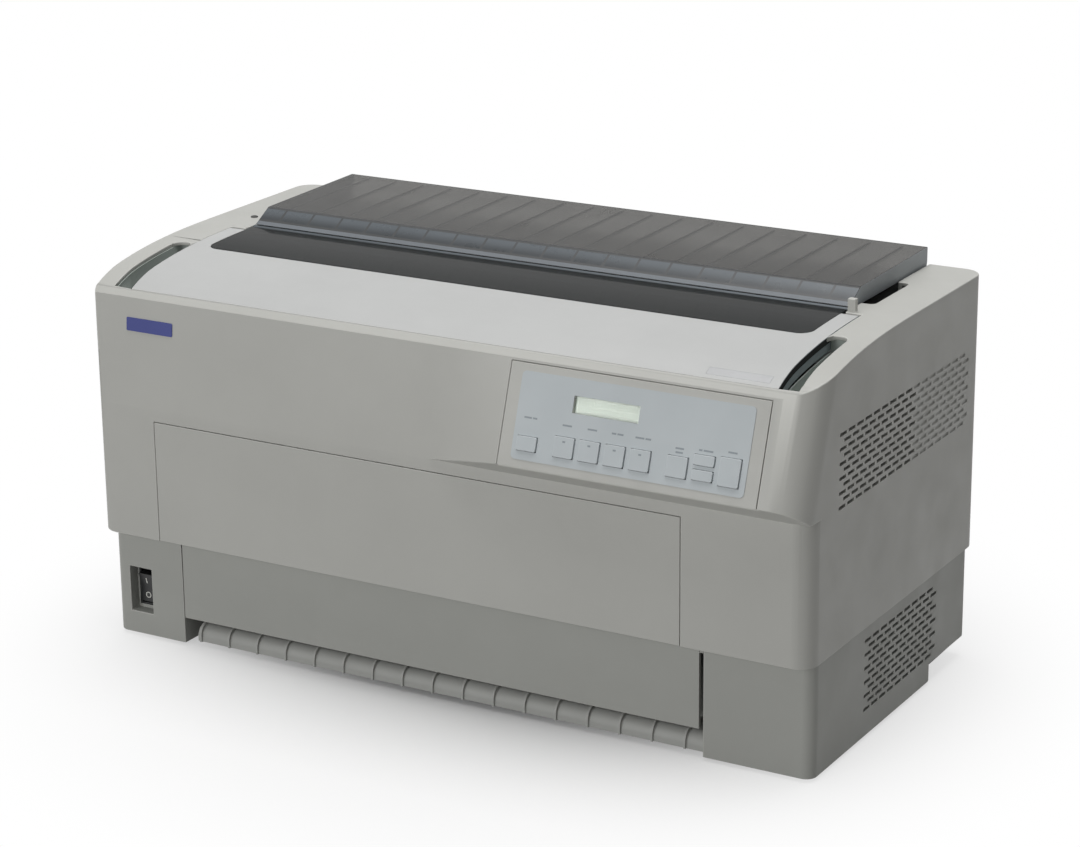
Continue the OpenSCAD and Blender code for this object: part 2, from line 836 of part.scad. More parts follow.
module top_cover() {
  skirt_x = lid_x - 3;
  skirt = 13;
  ledge = 5;
  placed()
    color([0.78, 0.78, 0.78]) {
      difference() {
        union() {
          // skin of the cover, which follows the arched top
          along_x(-lid_x, lid_x)
            crown_strip(lid_y0 + seam, window_y0 + 40, 0, lid_t);
          // front skirt, ledge under the window and bar behind it
          along_x(-skirt_x, skirt_x)
            crown_strip(lid_y0 + 7, lid_y0 + 9.5, 1, skirt - 3);
          along_x(-window_x - 1, window_x + 1)
            crown_strip(window_y0 - 1, window_y0 + ledge, 1, window_t + 2);
          block(0, case_h - window_t - 3, window_x, 2.9, window_y1 - 10, window_y1 - 1);
          both_sides() {
            along_x(window_x, lid_x)
              crown_strip(window_y0, hinge_y, 0, lid_t);
            // skirt that the fingers reach under
            along_x(skirt_x, lid_x)
              crown_strip(lid_y0 + 6, hinge_y, 1, skirt);
            bar_x(window_x + gap, lid_x, hinge_y, hinge_z, lid_boss_r);
            along_x(window_x - ledge, window_x + 6)
              crown_strip(window_y0 - 1, hinge_y, 1, window_t + 2);
            along_x(window_x - ledge, window_x + gap + 1)
              crown_strip(hinge_y - 2, window_y1 - 2, window_t + 0.2, window_t + 6);
          }
        }
        window_cut(gap);
        nameplate_cut(gap / 2);
      }
      lid_pins(0);
    }
}

// The space of the window pane, with its rounded front corners
module window_cut(more) {
  intersection() {
    translate([0, 0, lean_z])
      linear_extrude(height = case_h)
        plan(-window_x - more, window_x + more, window_y0 - more, window_y1 + 2 * more, window_r, window_r);
    along_x(-window_x - 2, window_x + 2)
      crown_strip(window_y0 - 4, window_y1 + 4, -1, window_t);
  }
}

module cover_window() {
  placed()
    color([0.25, 0.27, 0.28, 0.85])
      intersection() {
        window_cut(0);
        along_x(-window_x, window_x)
          crown_strip(window_y0 - 4, window_y1, 0, window_t - 0.02);
      }
}

module nameplate_cut(more) {
  plate_y = lid_y0 + 8.5;
  plate_d = 8;
  along_x(panel_x1 - nameplate_w - 9 - more, panel_x1 - 9 + more)
    crown_strip(plate_y - plate_d / 2 - more, plate_y + plate_d / 2 + more, -1 + more, 1);
}

module nameplate() {
  placed()
    color([0.72, 0.73, 0.74])
      intersection() {
        nameplate_cut(0);
        along_x(-lid_x, lid_x)
          crown_strip(lid_y0, lid_y0 + 30, 0, 2);
      }
}

// Smoke cover over the paper exit: flat top, sloping ribbed lip, low side walls
module paper_cover() {
  wall_z = case_h - 2;
  top_rear_z = hood_z + hood_rise;
  rear_y = case_d;
  rib_count = floor((hood_x - 15) / rib_pitch);
  placed()
    color([0.38, 0.38, 0.37, 0.8]) {
      along_x(-hood_x, hood_x)
        polygon([
          [hood_lip_y, hood_lip_z], [hood_y, hood_z], [rear_y, top_rear_z],
          [rear_y, top_rear_z - hood_t], [hood_y + 1.5, hood_z - hood_t],
          [hood_lip_y + 3, hood_lip_z - 0.6]
        ]);
      both_sides() {
        // side wall with the ear of its hinge
        along_x(hood_x - hood_t, hood_x)
          polygon([
            [hood_lip_y + 3, hood_lip_z - 0.4], [hood_y, hood_z - 0.5],
            [rear_y, top_rear_z - 0.5], [rear_y, wall_z + 4], [hood_axis_y + 5, hood_axis_z],
            [hood_axis_y, hood_axis_z - 5], [hood_axis_y - 5, hood_axis_z],
            [hood_axis_y - 12, wall_z], [hood_lip_y + 8, wall_z]
          ]);
      }
      // ribs under the lip and the top
      for (i = [-rib_count:rib_count])
        along_x(i * rib_pitch - rib_t / 2, i * rib_pitch + rib_t / 2)
          polygon([
            [hood_lip_y + 1, hood_lip_z - 0.2], [hood_y, hood_z - 1], [rear_y - 4, top_rear_z - 1.2],
            [rear_y - 4, top_rear_z - hood_t - 2], [hood_y + 6, hood_z - hood_t - 4],
            [hood_lip_y + 8, hood_lip_z - 0.6]
          ]);
      hood_pins(0);
    }
}

module tear_bar() {
  bar_y = window_y1 + 4;
  placed()
    color([0.75, 0.76, 0.77])
      along_x(-hood_open_x, hood_open_x)
        polygon([
          [bar_y, case_h - 5], [bar_y, case_h - 1], [bar_y + 1.5, hood_lip_z - 0.9],
          [bar_y + 4.5, hood_lip_z - 0.9], [bar_y + 5, case_h - 5]
        ]);
}

// Ribbed chute from the platen to the rear edge of the case
module exit_guide() {
  plate_t = 2;
  low = [platen_y - 12, platen_z + platen_r + 4];
  bend = [window_y1 + 14, rear_edge_z - 2];
  rear = [case_d - wall, rear_edge_z + 2];
  rib_count = floor((hood_x - 20) / rib_pitch);
  placed()
    color([0.7, 0.7, 0.68]) {
      along_x(-hood_open_x, hood_open_x)
        polygon([
          low, bend, rear, rear - [0, plate_t], bend - [-1, plate_t], low + [2, -plate_t]
        ]);
      for (i = [-rib_count:rib_count])
        along_x(i * rib_pitch - rib_t / 2, i * rib_pitch + rib_t / 2)
          polygon([
            low + [3, 1], bend + [0, 4], rear + [0, 2], rear - [0, 1], bend - [0, 1], low + [6, 0]
          ]);
    }
}

module front_door() {
  x0 = door_x0 + seam;
  x1 = door_x1 - seam;
  z0 = joint_z + seam;
  z1 = door_z1 - seam;
  rim = 6;
  rim_in = 8;
  rib_count = 6;
  placed()
    color([0.6, 0.6, 0.58]) {
      box(x0, x1, 0, door_t, z0, z1);
      // stiffening frame and ribs on the inner side
      difference() {
        box(x0 + rim_in, x1 - rim_in, door_t - 0.1, door_t + rim, z0 + 12, z1 - rim_in);
        box(x0 + rim_in + 2, x1 - rim_in - 2, 0, door_t + rim + 1, z0 + 14, z1 - rim_in - 2);
      }
      for (i = [1:rib_count])
        translate([x0 + (x1 - x0) * i / (rib_count + 1), 0, 0])
          box(-1, 1, door_t - 0.1, door_t + rim - 1, z0 + 12, z1 - rim_in);
      // hinge knuckle along the lower edge
      bar_x(x0, x1, door_axis_y, door_axis_z, door_pin_r + 1.3);
      door_pins(0);
    }
}

module lower_front_cover() {
  x0 = low_x0 + seam;
  y1 = base_y0 + wall;
  z0 = low_cover_z + gap;
  z1 = low_z1 - seam;
  rib_count = 6;
  placed()
    color([0.53, 0.53, 0.51]) {
      box(x0, low_x1, base_y0, y1, z0, z1);
      difference() {
        box(x0 + 6, low_x1 - 6, y1 - 0.1, y1 + 6, z0 + 3, z1 - 12);
        box(x0 + 8, low_x1 - 8, 0, y1 + 7, z0 + 5, z1 - 14);
      }
      for (i = [1:rib_count])
        translate([x0 + low_cover_w * i / (rib_count + 1), 0, 0])
          box(-1, 1, y1 - 0.1, y1 + 5, z0 + 3, z1 - 12);
      low_cover_pins(0);
    }
}

// Ribbed guide that leads the form in and up to the tractors
module front_paper_guide() {
  nose_y0 = base_y0 + 3.5;
  top_z = low_cover_z - 5;
  plate_t = 2.5;
  rib_count = floor((guide_x1 - guide_x0 - 8) / rib_pitch);
  placed()
    color([0.55, 0.55, 0.53]) {
      along_x(guide_x0, guide_x1)
        guide_outline(nose_y0 + 2, top_z - 2, guide_y1 - plate_t, plate_t);
      // ribs that carry the form
      for (i = [0:rib_count])
        translate([guide_x0 + 3 + i * rib_pitch, 0, 0])
          along_x(0, rib_t)
            guide_outline(nose_y0, top_z, guide_y1 - plate_t - 3, plate_t + 1.5);
    }
}

// Front face, rounded shoulder, shelf and upright plate, all of thickness t
module guide_outline(y0, top, back, t) {
  r = 11;
  low = foot_gap + 2;
  translate([y0, low])
    square([t, top - r - low]);
  intersection() {
    translate([y0, top - r])
      square([r, r]);
    translate([y0 + r, top - r])
      difference() {
        circle(r = r);
        circle(r = r - t);
      }
  }
  translate([y0 + r - 0.1, top - t])
    square([back - y0 - r + t, t]);
  translate([back, top - t])
    square([t, tractor_z - 10 - top + t]);
}

module badge_plate() {
  badge_x = -case_x + 38;
  badge_z = brow_z - 29.5;
  lean = atan2(front_lean, brow_z - lean_z);
  placed()
    color([0.2, 0.26, 0.5])
      translate([badge_x, (badge_z - lean_z) * tan(lean), badge_z])
        rotate([90 - lean, 0, 0])
          linear_extrude(height = 0.8)
            round_plan(0, badge_w, 0, badge_h, 1.2);
}

// Control panel

module control_panel() {
  placed()
    color([0.63, 0.63, 0.62])
      on_panel()
        difference() {
          translate([panel_x0 + groove, 0.2, -panel_t])
            cube([panel_w - 2 * groove, panel_top - groove - 0.2, panel_t]);
          panel_holes();
        }
}

module panel_holes() {
  panel_block(lcd_x, lcd_s, lcd_w, lcd_h, -panel_t - 1, 2);
  for (key = KEYS)
    panel_block(key[0], key[1], key[2] + 2 * gap, key[3] + 2 * gap, -panel_t - 1, 2);
}

module control_label() {
  placed()
    color([0.69, 0.72, 0.74])
      on_panel()
        difference() {
          linear_extrude(height = label_t)
            round_plan(label_x0, label_x0 + label_w, label_s0, label_s0 + label_h, 4);
          panel_holes();
        }
}

module panel_key(i) {
  key = KEYS[i - 1];
  top = label_t + key_rise;
  flange_top = -panel_t - gap;
  stem_z = -panel_t - board_gap + switch_rise + gap + key_travel;
  placed()
    color([0.74, 0.75, 0.75])
      on_panel() {
        translate([key[0], key[1], flange_top - key_flange])
          linear_extrude(height = top - flange_top + key_flange)
            round_plan(-key[2] / 2, key[2] / 2, -key[3] / 2, key[3] / 2, 1.5);
        panel_block(key[0], key[1], key[2] + 2, key[3] + 1.6, flange_top - key_flange, flange_top);
        // stem over the switch on the board
        translate([key[0], key[1], stem_z])
          cylinder(r = 2, h = flange_top - stem_z);
      }
}

module lcd_window() {
  placed()
    color([0.8, 0.86, 0.8, 0.6])
      on_panel()
        panel_block(lcd_x, lcd_s, lcd_w - 0.2, lcd_h - 0.2, -panel_t, 1.2 - panel_t);
}

module lcd_module() {
  placed()
    color([0.35, 0.42, 0.33])
      on_panel() {
        panel_block(lcd_x, lcd_s, lcd_w + 8, lcd_h + 7, -panel_t - board_gap, -panel_t - gap - 1);
        panel_block(lcd_x, lcd_s, lcd_w - 2, lcd_h - 2, -panel_t - 2, -panel_t);
      }
}

// Board that carries the display and a switch under every key
module control_board() {
  board_top = -panel_t - board_gap;
  placed()
    color([0.1, 0.32, 0.16])
      on_panel() {
        translate([label_x0 + 2, label_s0 + 1, board_top - board_t])
          cube([label_w - 4, label_h - 4, board_t]);
        for (key = KEYS)
          panel_block(key[0], key[1], 6, 6, board_top - 0.1, board_top + switch_rise);
        // posts that hold the board to the panel
        for (x = [label_x0 + 5, label_x0 + label_w - 5])
          for (s = [label_s0 + 36, label_s0 + label_h - 9])
            translate([x, s, board_top - 0.1])
              cylinder(r = 2.5, h = board_gap + 0.1);
      }
}

// Power switch, mains inlet and interface connectors

module power_switch_body() {
  pin_x = rocker_w / 2 + 1.5 + run_fit;
  y0 = base_y0 + switch_deep - 1.5;
  placed()
    color([0.08, 0.08, 0.09])
      difference() {
        union() {
          block(switch_x, switch_z, switch_w / 2 - 2 - gap, switch_h / 2 - 3 - gap, y0, y0 + 24);
          for (z = [-10, 0, 10])
            block(switch_x, switch_z + z, 3, 0.4, y0 + 23, y0 + 31);
        }
        block(switch_x, switch_z, rocker_w / 2 + gap, rocker_h / 2 + 1.4, y0 - 1, y0 + 17);
        bar_x(switch_x - pin_x, switch_x + pin_x, rocker_axis_y, switch_z, 1.5 + run_fit);
      }
}

// Rocker with two faces that meet over the axis, pressed in at its lower end
module power_rocker() {
  face = 6;
  placed()
    color([0.05, 0.05, 0.06])
      translate([0, rocker_axis_y, switch_z])
        rotate([8, 0, 0]) {
          along_x(switch_x - rocker_w / 2, switch_x + rocker_w / 2)
            polygon([
              [-face - 1.8, -rocker_h / 2 + 0.4], [-face, 0], [-face - 1.8, rocker_h / 2 - 0.4],
              [-1, rocker_h / 2 - 0.4], [4, 3], [4, -3], [-1, -rocker_h / 2 + 0.4]
            ]);
          bar_x(switch_x - rocker_w / 2 - 1.5, switch_x + rocker_w / 2 + 1.5, 0, 0, 1.5);
        }
}

module rear_panel() {
  plate_t = 1.5;
  y0 = panel_plate_y - plate_t;
  placed()
    color([0.62, 0.63, 0.64])
      difference() {
        box(-base_x + 14, base_x - 14, y0, panel_plate_y, tail_floor_z + 4, joint_z - 5);
        block(inlet_x, inlet_z, 14, 10.5, 0, case_d);
        block(port_x, port_z, 29, 6.5, 0, case_d);
        block(small_port_x, port_z, 20, 5.2, 0, case_d);
        for (i = [0:11])
          box(-100 + i * 12, -94 + i * 12, 0, case_d, tail_floor_z + 14, joint_z - 16);
      }
}

module mains_inlet() {
  y0 = panel_plate_y;
  placed()
    color([0.07, 0.07, 0.08])
      difference() {
        union() {
          block(inlet_x, inlet_z, 15.5, 12, y0, y0 + 2);
          block(inlet_x, inlet_z, 13.7, 10.2, y0 - 24, y0 + 1);
        }
        difference() {
          along_inlet(12, 8.5, y0 - 17, y0 + 5);
          for (pin = [[-7, -1.5], [0, 3], [7, -1.5]])
            block(inlet_x + pin[0], inlet_z + pin[1], 1, 2, y0 - 18, y0 - 2);
        }
      }
}

// The six-sided mouth of the inlet
module along_inlet(half_w, half_h, y0, y1) {
  cut = 5;
  translate([inlet_x, y1, inlet_z])
    rotate([90, 0, 0])
      linear_extrude(height = y1 - y0)
        polygon([
          [-half_w, -half_h], [half_w, -half_h], [half_w, half_h - cut], [half_w - cut, half_h],
          [-half_w + cut, half_h], [-half_w, half_h - cut]
        ]);
}

// A parallel port and a serial port, each a shell round a tongue
module interface_connectors() {
  placed()
    color([0.55, 0.56, 0.58]) {
      port(port_x, 28, 5.8, 9);
      port(small_port_x, 19.5, 4.8, 7);
    }
}

module port(x, half_w, half_h, reach) {
  y1 = panel_plate_y + reach - 2;
  difference() {
    union() {
      block(x, port_z, half_w, half_h, panel_plate_y - 12, y1);
      block(x, port_z, half_w + 9, half_h + 2, panel_plate_y, panel_plate_y + 1.2);
    }
    difference() {
      block(x, port_z, half_w - 1.5, half_h - 1.2, y1 - 8, y1 + 1);
      block(x, port_z, half_w - 5, 1.2, y1 - 9, y1 - 1.5);
    }
  }
}

// Chassis and side frames

module base_chassis() {
  x = frame_x + frame_t + 12;
  y0 = guide_y1 + 8;
  y1 = base_y1 - 14;
  placed()
    color([0.66, 0.67, 0.68]) {
      difference() {
        box(-x, x, y0, y1, chassis_z, chassis_z + chassis_t);
        for (px = [-150, 0, 150])
          translate([px, (y0 + y1) / 2, chassis_z - 1])
            linear_extrude(height = chassis_t + 2)
              round_plan(-45, 45, -60, 60, 12);
      }
      // folded front and rear edges
      box(-x, x, y0, y0 + chassis_t, chassis_z, chassis_z + 12);
      box(-x, x, y1 - chassis_t, y1, chassis_z, chassis_z + 12);
    }
}

// A stamped steel side frame, drawn for the right side
module side_frame() {
  x0 = frame_x;
  x1 = frame_x + frame_t;
  difference() {
    union() {
      along_x(x0, x1)
        polygon([
          [guide_y1 + 12, frame_z0], [frame_y0, tractor_z - 20], [frame_y0, ribbon_z1 - 16],
          [frame_y0 + 20, frame_z1 - 16], [hood_lip_y, frame_z1], [frame_y1, frame_z1],
          [frame_y1, joint_z + 10], [base_y1 - 16, joint_z], [base_y1 - 16, frame_z0]
        ]);
      // foot flange on the chassis
      box(x0 - 14, x1, guide_y1 + 12, base_y1 - 18, frame_z0, frame_z0 + 3);
    }
    bar_x(x0 - 1, x1 + 1, platen_y, platen_z, platen_shaft_r + run_fit);
    bar_x(x0 - 1, x1 + 1, shaft_y, shaft_z, square_bore_r - 0.6 + run_fit);
    bar_x(x0 - 1, x1 + 1, rod_y, rod_z, guide_rod_r);
    for (i = [0, 1])
      bar_x(x0 - 1, x1 + 1, rail_ys[i], rail_zs[i], rail_r);
    // lightening holes
    for (hole = [[250, 90, 34], [270, 200, 34], [180, 120, 26]])
      bar_x(x0 - 1, x1 + 1, hole[0], hole[1], hole[2]);
  }
}

// Tab under one end of the ribbon cartridge
module ribbon_tab(x0, x1) {
  box(x0, x1, ribbon_y0 + 10, ribbon_y1 - 4, ribbon_z0 - gap - 2.5, ribbon_z0 - gap);
}

module left_side_frame() {
  motor_x = -pulley_x;
  placed()
    color([0.7, 0.71, 0.72])
      difference() {
        union() {
          mirror([1, 0, 0])
            side_frame();
          ribbon_tab(-frame_x - 1, ribbon_x0 + 10);
          // shelf that carries the carriage motor
          box(-frame_x - 1, motor_x + 28, belt_y - 28, rail_ys[0] - rail_r - 2, belt_z - 26, belt_z - 23);
          box(-frame_x - 1, -frame_x + 3, frame_y0 - 14, frame_y0 + 2, belt_z - 30, belt_z - 23);
        }
        translate([motor_x, belt_y, belt_z - 30])
          cylinder(r = 7, h = 12);
        bar_x(-frame_x - 4, -frame_x + 1, pinion_y, pinion_z, 16);
      }
}

module right_side_frame() {
  idler_x = pulley_x;
  placed()
    color([0.7, 0.71, 0.72]) {
      side_frame();
      ribbon_tab(ribbon_x1 - 10, frame_x + 1);
      box(idler_x - 12, frame_x + 1, belt_y - 13, rail_ys[0] - rail_r - 2, belt_z - 13, belt_z - 10);
      box(frame_x - 3, frame_x + 1, frame_y0 - 1, frame_y0 + 2, belt_z - 20, belt_z - 10);
      // fixed axle of the idler pulley
      translate([idler_x, belt_y, belt_z - 11])
        cylinder(r = 3, h = 20);
    }
}

module carriage_rails() {
  placed()
    color([0.8, 0.81, 0.83])
      for (i = [0, 1])
        bar_x(-frame_x - frame_t, frame_x + frame_t, rail_ys[i], rail_zs[i], rail_r);
}

// Carriage, print head and ribbon

module carriage() {
  x0 = mech_x - carriage_w / 2;
  x1 = mech_x + carriage_w / 2;
  bush = 3;
  run_y = belt_y + pulley_r + gap + belt_t / 2;
  belt_half = belt_t / 2 + gap;
  placed()
    color([0.2, 0.21, 0.22])
      difference() {
        union() {
          // bed between the rails
          box(x0, x1, rail_ys[0], rail_ys[1] + 4, rail_zs[0] + 2, bed_z);
          for (i = [0, 1])
            bar_x(x0, x1, rail_ys[i], rail_zs[i], rail_r + bush);
          // clamp of the belt
          box(mech_x - 16, mech_x + 16, run_y - 4, rail_ys[0] + 4, rail_zs[0] + 4, belt_z + belt_w / 2 + 3);
          // cheeks beside the head
          for (x = [x0 + 2, x1 - 7])
            box(x, x + 5, rail_ys[0] + 14, rail_ys[1] + 4, rail_zs[1], rail_zs[1] + 30);
        }
        for (i = [0, 1])
          bar_x(x0 - 1, x1 + 1, rail_ys[i], rail_zs[i], rail_r + run_fit);
        // channel of the belt, open at the top
        box(x0 - 1, x1 + 1, run_y - belt_half, run_y + belt_half, belt_z - belt_w / 2 - gap, belt_z + belt_w);
      }
}

// Wire head: finned body, guide block and narrow nose
module print_head() {
  fins = 7;
  head_z = platen_z;
  body_y0 = ribbon_y1 + 14;
  body_y1 = nose_y - 14;
  z0 = bed_z;
  body_x = carriage_w / 2 - 8;
  placed()
    color([0.32, 0.33, 0.35]) {
      box(mech_x - body_x + 3, mech_x + body_x - 3, body_y0, body_y1, z0, head_z + 18);
      for (i = [0:fins - 1])
        translate([0, body_y0 + i * 5.2, 0])
          box(mech_x - body_x, mech_x + body_x, 0, 2.4, z0 + 1, head_z + 20);
      translate([mech_x, nose_y, head_z])
        rotate([90, 0, 0]) {
          linear_extrude(height = nose_y - body_y1 + 1)
            round_plan(-7, 7, -9, 9, 3);
          translate([0, 0, 7])
            linear_extrude(height = nose_y - body_y1 - 6)
              round_plan(-14, 14, -14, 14, 4);
        }
    }
}

// Flat cartridge with an arm at each end and the ribbon between their tips
module ribbon_cartridge() {
  arm_w = 11;
  arm_y1 = nose_y + 0.4;
  wall_z0 = platen_z - ribbon_w / 2 - 2;
  ribbon_t = 0.5;
  placed()
    color([0.12, 0.12, 0.13])
      difference() {
        union() {
          translate([0, 0, ribbon_z0])
            linear_extrude(height = ribbon_z1 - ribbon_z0)
              round_plan(ribbon_x0, ribbon_x1, ribbon_y0, ribbon_y1, 8);
          for (x = [ribbon_x0, ribbon_x1 - arm_w]) {
            box(x, x + arm_w, ribbon_y1 - 12, arm_y1, ribbon_z0, ribbon_z1 - 5);
            box(x + 1, x + arm_w - 1, arm_y1 - 14, arm_y1, wall_z0, ribbon_z1 - 6);
          }
          block(mech_x, platen_z, ribbon_l / 2 - 3, ribbon_w / 2, arm_y1 - 0.1, arm_y1 - 0.1 + ribbon_t);
          // raised lid line of the box
          translate([0, 0, ribbon_z1 - 0.5])
            linear_extrude(height = 1.5)
              round_plan(ribbon_x0 + 4, ribbon_x1 - 4, ribbon_y0 + 4, ribbon_y1 - 4, 6);
        }
        translate([ribbon_knob_x, (ribbon_y0 + ribbon_y1) / 2, ribbon_z1 - 8])
          cylinder(r = 3 + run_fit, h = 20);
      }
}

module ribbon_knob() {
  ribs = 12;
  knob_r = 11;
  z0 = ribbon_z1 + 1 + gap;
  placed()
    color([0.1, 0.25, 0.5])
      translate([ribbon_knob_x, (ribbon_y0 + ribbon_y1) / 2, 0]) {
        translate([0, 0, ribbon_z1 - 7])
          cylinder(r = 3, h = 14);
        difference() {
          translate([0, 0, z0])
            cylinder(r = knob_r, h = 8);
          for (i = [0:ribs - 1])
            rotate([0, 0, 360 / ribs * i])
              translate([knob_r + 0.8, 0, z0 - 1])
                cylinder(r = 1.8, h = 12, $fn = 24);
        }
      }
}

// Carriage drive

module belt_loop(r) {
  for (x = [-pulley_x, pulley_x])
    translate([x, belt_y])
      circle(r = r);
  translate([-pulley_x, belt_y - r])
    square([2 * pulley_x, 2 * r]);
}

module drive_belt() {
  placed()
    color([0.1, 0.1, 0.1])
      translate([0, 0, belt_z - belt_w / 2])
        linear_extrude(height = belt_w)
          difference() {
            belt_loop(pulley_r + gap + belt_t);
            belt_loop(pulley_r + gap);
          }
}

// A toothed pulley with two flanges
module pulley(bore_r) {
  teeth = 20;
  flange_t = 1.2;
  body_h = belt_w + 2 * gap;
  linear_extrude(height = body_h, center = true)
    difference() {
      circle(r = pulley_r);
      circle(r = bore_r);
      for (i = [0:teeth - 1])
        rotate(360 / teeth * i)
          translate([pulley_r, 0])
            circle(r = 0.7, $fn = 16);
    }
  for (z = [-1, 1])
    translate([0, 0, z * (body_h + flange_t) / 2])
      linear_extrude(height = flange_t, center = true)
        difference() {
          circle(r = pulley_r + belt_t + 1);
          circle(r = bore_r);
        }
}

module drive_pulley() {
  placed()
    color([0.72, 0.73, 0.75])
      translate([-pulley_x, belt_y, belt_z]) {
        pulley(motor_shaft_r);
        // the motor's shaft turns with the pulley
        translate([0, 0, motor_top_z - belt_z - motor_bore + gap])
          cylinder(r = motor_shaft_r, h = belt_z - motor_top_z + motor_bore + 8);
      }
}

module idler_pulley() {
  placed()
    color([0.72, 0.73, 0.75])
      translate([pulley_x, belt_y, belt_z])
        pulley(3 + run_fit);
}

// A round motor with a square flange; its shaft end is drawn with what it drives
module motor(body_r, body_h) {
  flange = body_r * 1.7;
  difference() {
    union() {
      cylinder(r = body_r, h = body_h);
      translate([0, 0, body_h])
        linear_extrude(height = 3)
          round_plan(-flange / 2, flange / 2, -flange / 2, flange / 2, 5);
      translate([0, 0, -4])
        cylinder(r = body_r * 0.45, h = 5);
    }
    translate([0, 0, body_h + 3 - motor_bore])
      cylinder(r = motor_shaft_r + run_fit, h = 30);
  }
}

module carriage_motor() {
  body_h = 50;
  placed()
    color([0.25, 0.26, 0.28])
      translate([-pulley_x, belt_y, motor_top_z - body_h - 3])
        motor(24, body_h);
}

// Feed gears

function polar(r, a) = [r * cos(a), r * sin(a)];

// Spur gear outline with straight flanks that thin towards the tip; play is taken off each tooth
module gear_outline(teeth, play) {
  r = teeth * gear_module / 2;
  tip = r + gear_module * 0.9;
  root = r - gear_module * 1.2;
  step = 360 / teeth;
  half = step / 4 - play / r * 90 / PI;
  tip_half = half - 0.42 * gear_module / r * 180 / PI * 0.9;
  root_half = half + 0.36 * gear_module / r * 180 / PI;
  flank = [[root, -root_half], [r, -half], [tip, -tip_half], [tip, tip_half], [r, half], [root, root_half]];
  polygon([for (i = [0:teeth - 1]) for (p = flank) polar(p[0], i * step + p[1])]);
}

module feed_gear(teeth, bore_r, turn, play) {
  web_t = gear_w / 2;
  r = teeth * gear_module / 2;
  rotate([0, -90, 0])
    difference() {
      union() {
        linear_extrude(height = gear_w)
          difference() {
            rotate(turn)
              gear_outline(teeth, play);
            circle(r = r > 30 ? r - 8 : bore_r);
          }
        if (r > 30) {
          linear_extrude(height = web_t)
            circle(r = r - 7);
          cylinder(r = bore_r + 6, h = gear_w);
        }
      }
      translate([0, 0, -1])
        cylinder(r = bore_r, h = gear_w + 2);
      if (r > 30)
        for (a = [0:60:300])
          rotate(a + 30)
            translate([(r - 8 + bore_r + 6) / 2, 0, -1])
              cylinder(r = (r - 16 - bore_r) / 3.2, h = gear_w);
    }
}

gear_play = 0.35;
// Angles in the plane that the gears are drawn in, from the pinion to each large gear
pinion_to_platen = atan2(platen_y - pinion_y, platen_z - pinion_z);
pinion_to_shaft = atan2(shaft_y - pinion_y, shaft_z - pinion_z);
big_step = 360 / big_teeth;
pinion_step = 360 / pinion_teeth;

module platen_gear() {
  placed()
    color([0.85, 0.84, 0.8])
      translate([gear_x, platen_y, platen_z])
        feed_gear(big_teeth, platen_shaft_r, pinion_to_platen + 180 + big_step / 2, gear_play);
}

// The pinion has a tooth on the line to the platen; the tractor gear is turned to suit
module feed_pinion() {
  placed()
    color([0.8, 0.7, 0.4]) {
      translate([gear_x, pinion_y, pinion_z])
        feed_gear(pinion_teeth, motor_shaft_r, pinion_to_platen, gear_play);
      bar_x(gear_x - gear_w - 1, -frame_x + motor_bore - gap, pinion_y, pinion_z, motor_shaft_r);
    }
}

module tractor_gear() {
  // phase of the pinion's teeth on the line to the tractor shaft
  phase = (pinion_to_shaft - pinion_to_platen) / pinion_step;
  part = phase - floor(phase);
  placed()
    color([0.85, 0.84, 0.8])
      translate([gear_x, shaft_y, shaft_z])
        feed_gear(big_teeth, square_bore_r - 0.6, pinion_to_shaft + 180 + big_step * (0.5 + part), gear_play);
}

module feed_motor() {
  body_h = 34;
  placed()
    color([0.25, 0.26, 0.28])
      translate([-frame_x + body_h + 3, pinion_y, pinion_z])
        rotate([0, -90, 0])
          motor(24, body_h);
}

module platen_roller() {
  placed() {
    color([0.13, 0.13, 0.14])
      difference() {
        bar_x(mech_x - platen_l / 2, mech_x + platen_l / 2, platen_y, platen_z, platen_r);
        bar_x(-frame_x, frame_x, platen_y, platen_z, platen_shaft_r - 0.01);
      }
    color([0.7, 0.71, 0.72])
      bar_x(gear_x - gear_w - 1, frame_x + frame_t + 4, platen_y, platen_z, platen_shaft_r);
  }
}

// Tractors

module tractor_shaft() {
  journal_r = square_bore_r - 0.6;
  end_x = frame_x - 6;
  placed()
    color([0.7, 0.71, 0.72]) {
      translate([-end_x, shaft_y, shaft_z])
        rotate([tractor_tilt, 0, 0])
          translate([0, -square_shaft / 2, -square_shaft / 2])
            cube([2 * end_x, square_shaft, square_shaft]);
      bar_x(gear_x - gear_w - 1, -end_x + 1, shaft_y, shaft_z, journal_r);
      bar_x(end_x - 1, frame_x + frame_t + 4, shaft_y, shaft_z, journal_r);
    }
}

module tractor_guide_rod() {
  placed()
    color([0.78, 0.79, 0.8])
      bar_x(-frame_x - frame_t, frame_x + frame_t, rod_y, rod_z, guide_rod_r);
}

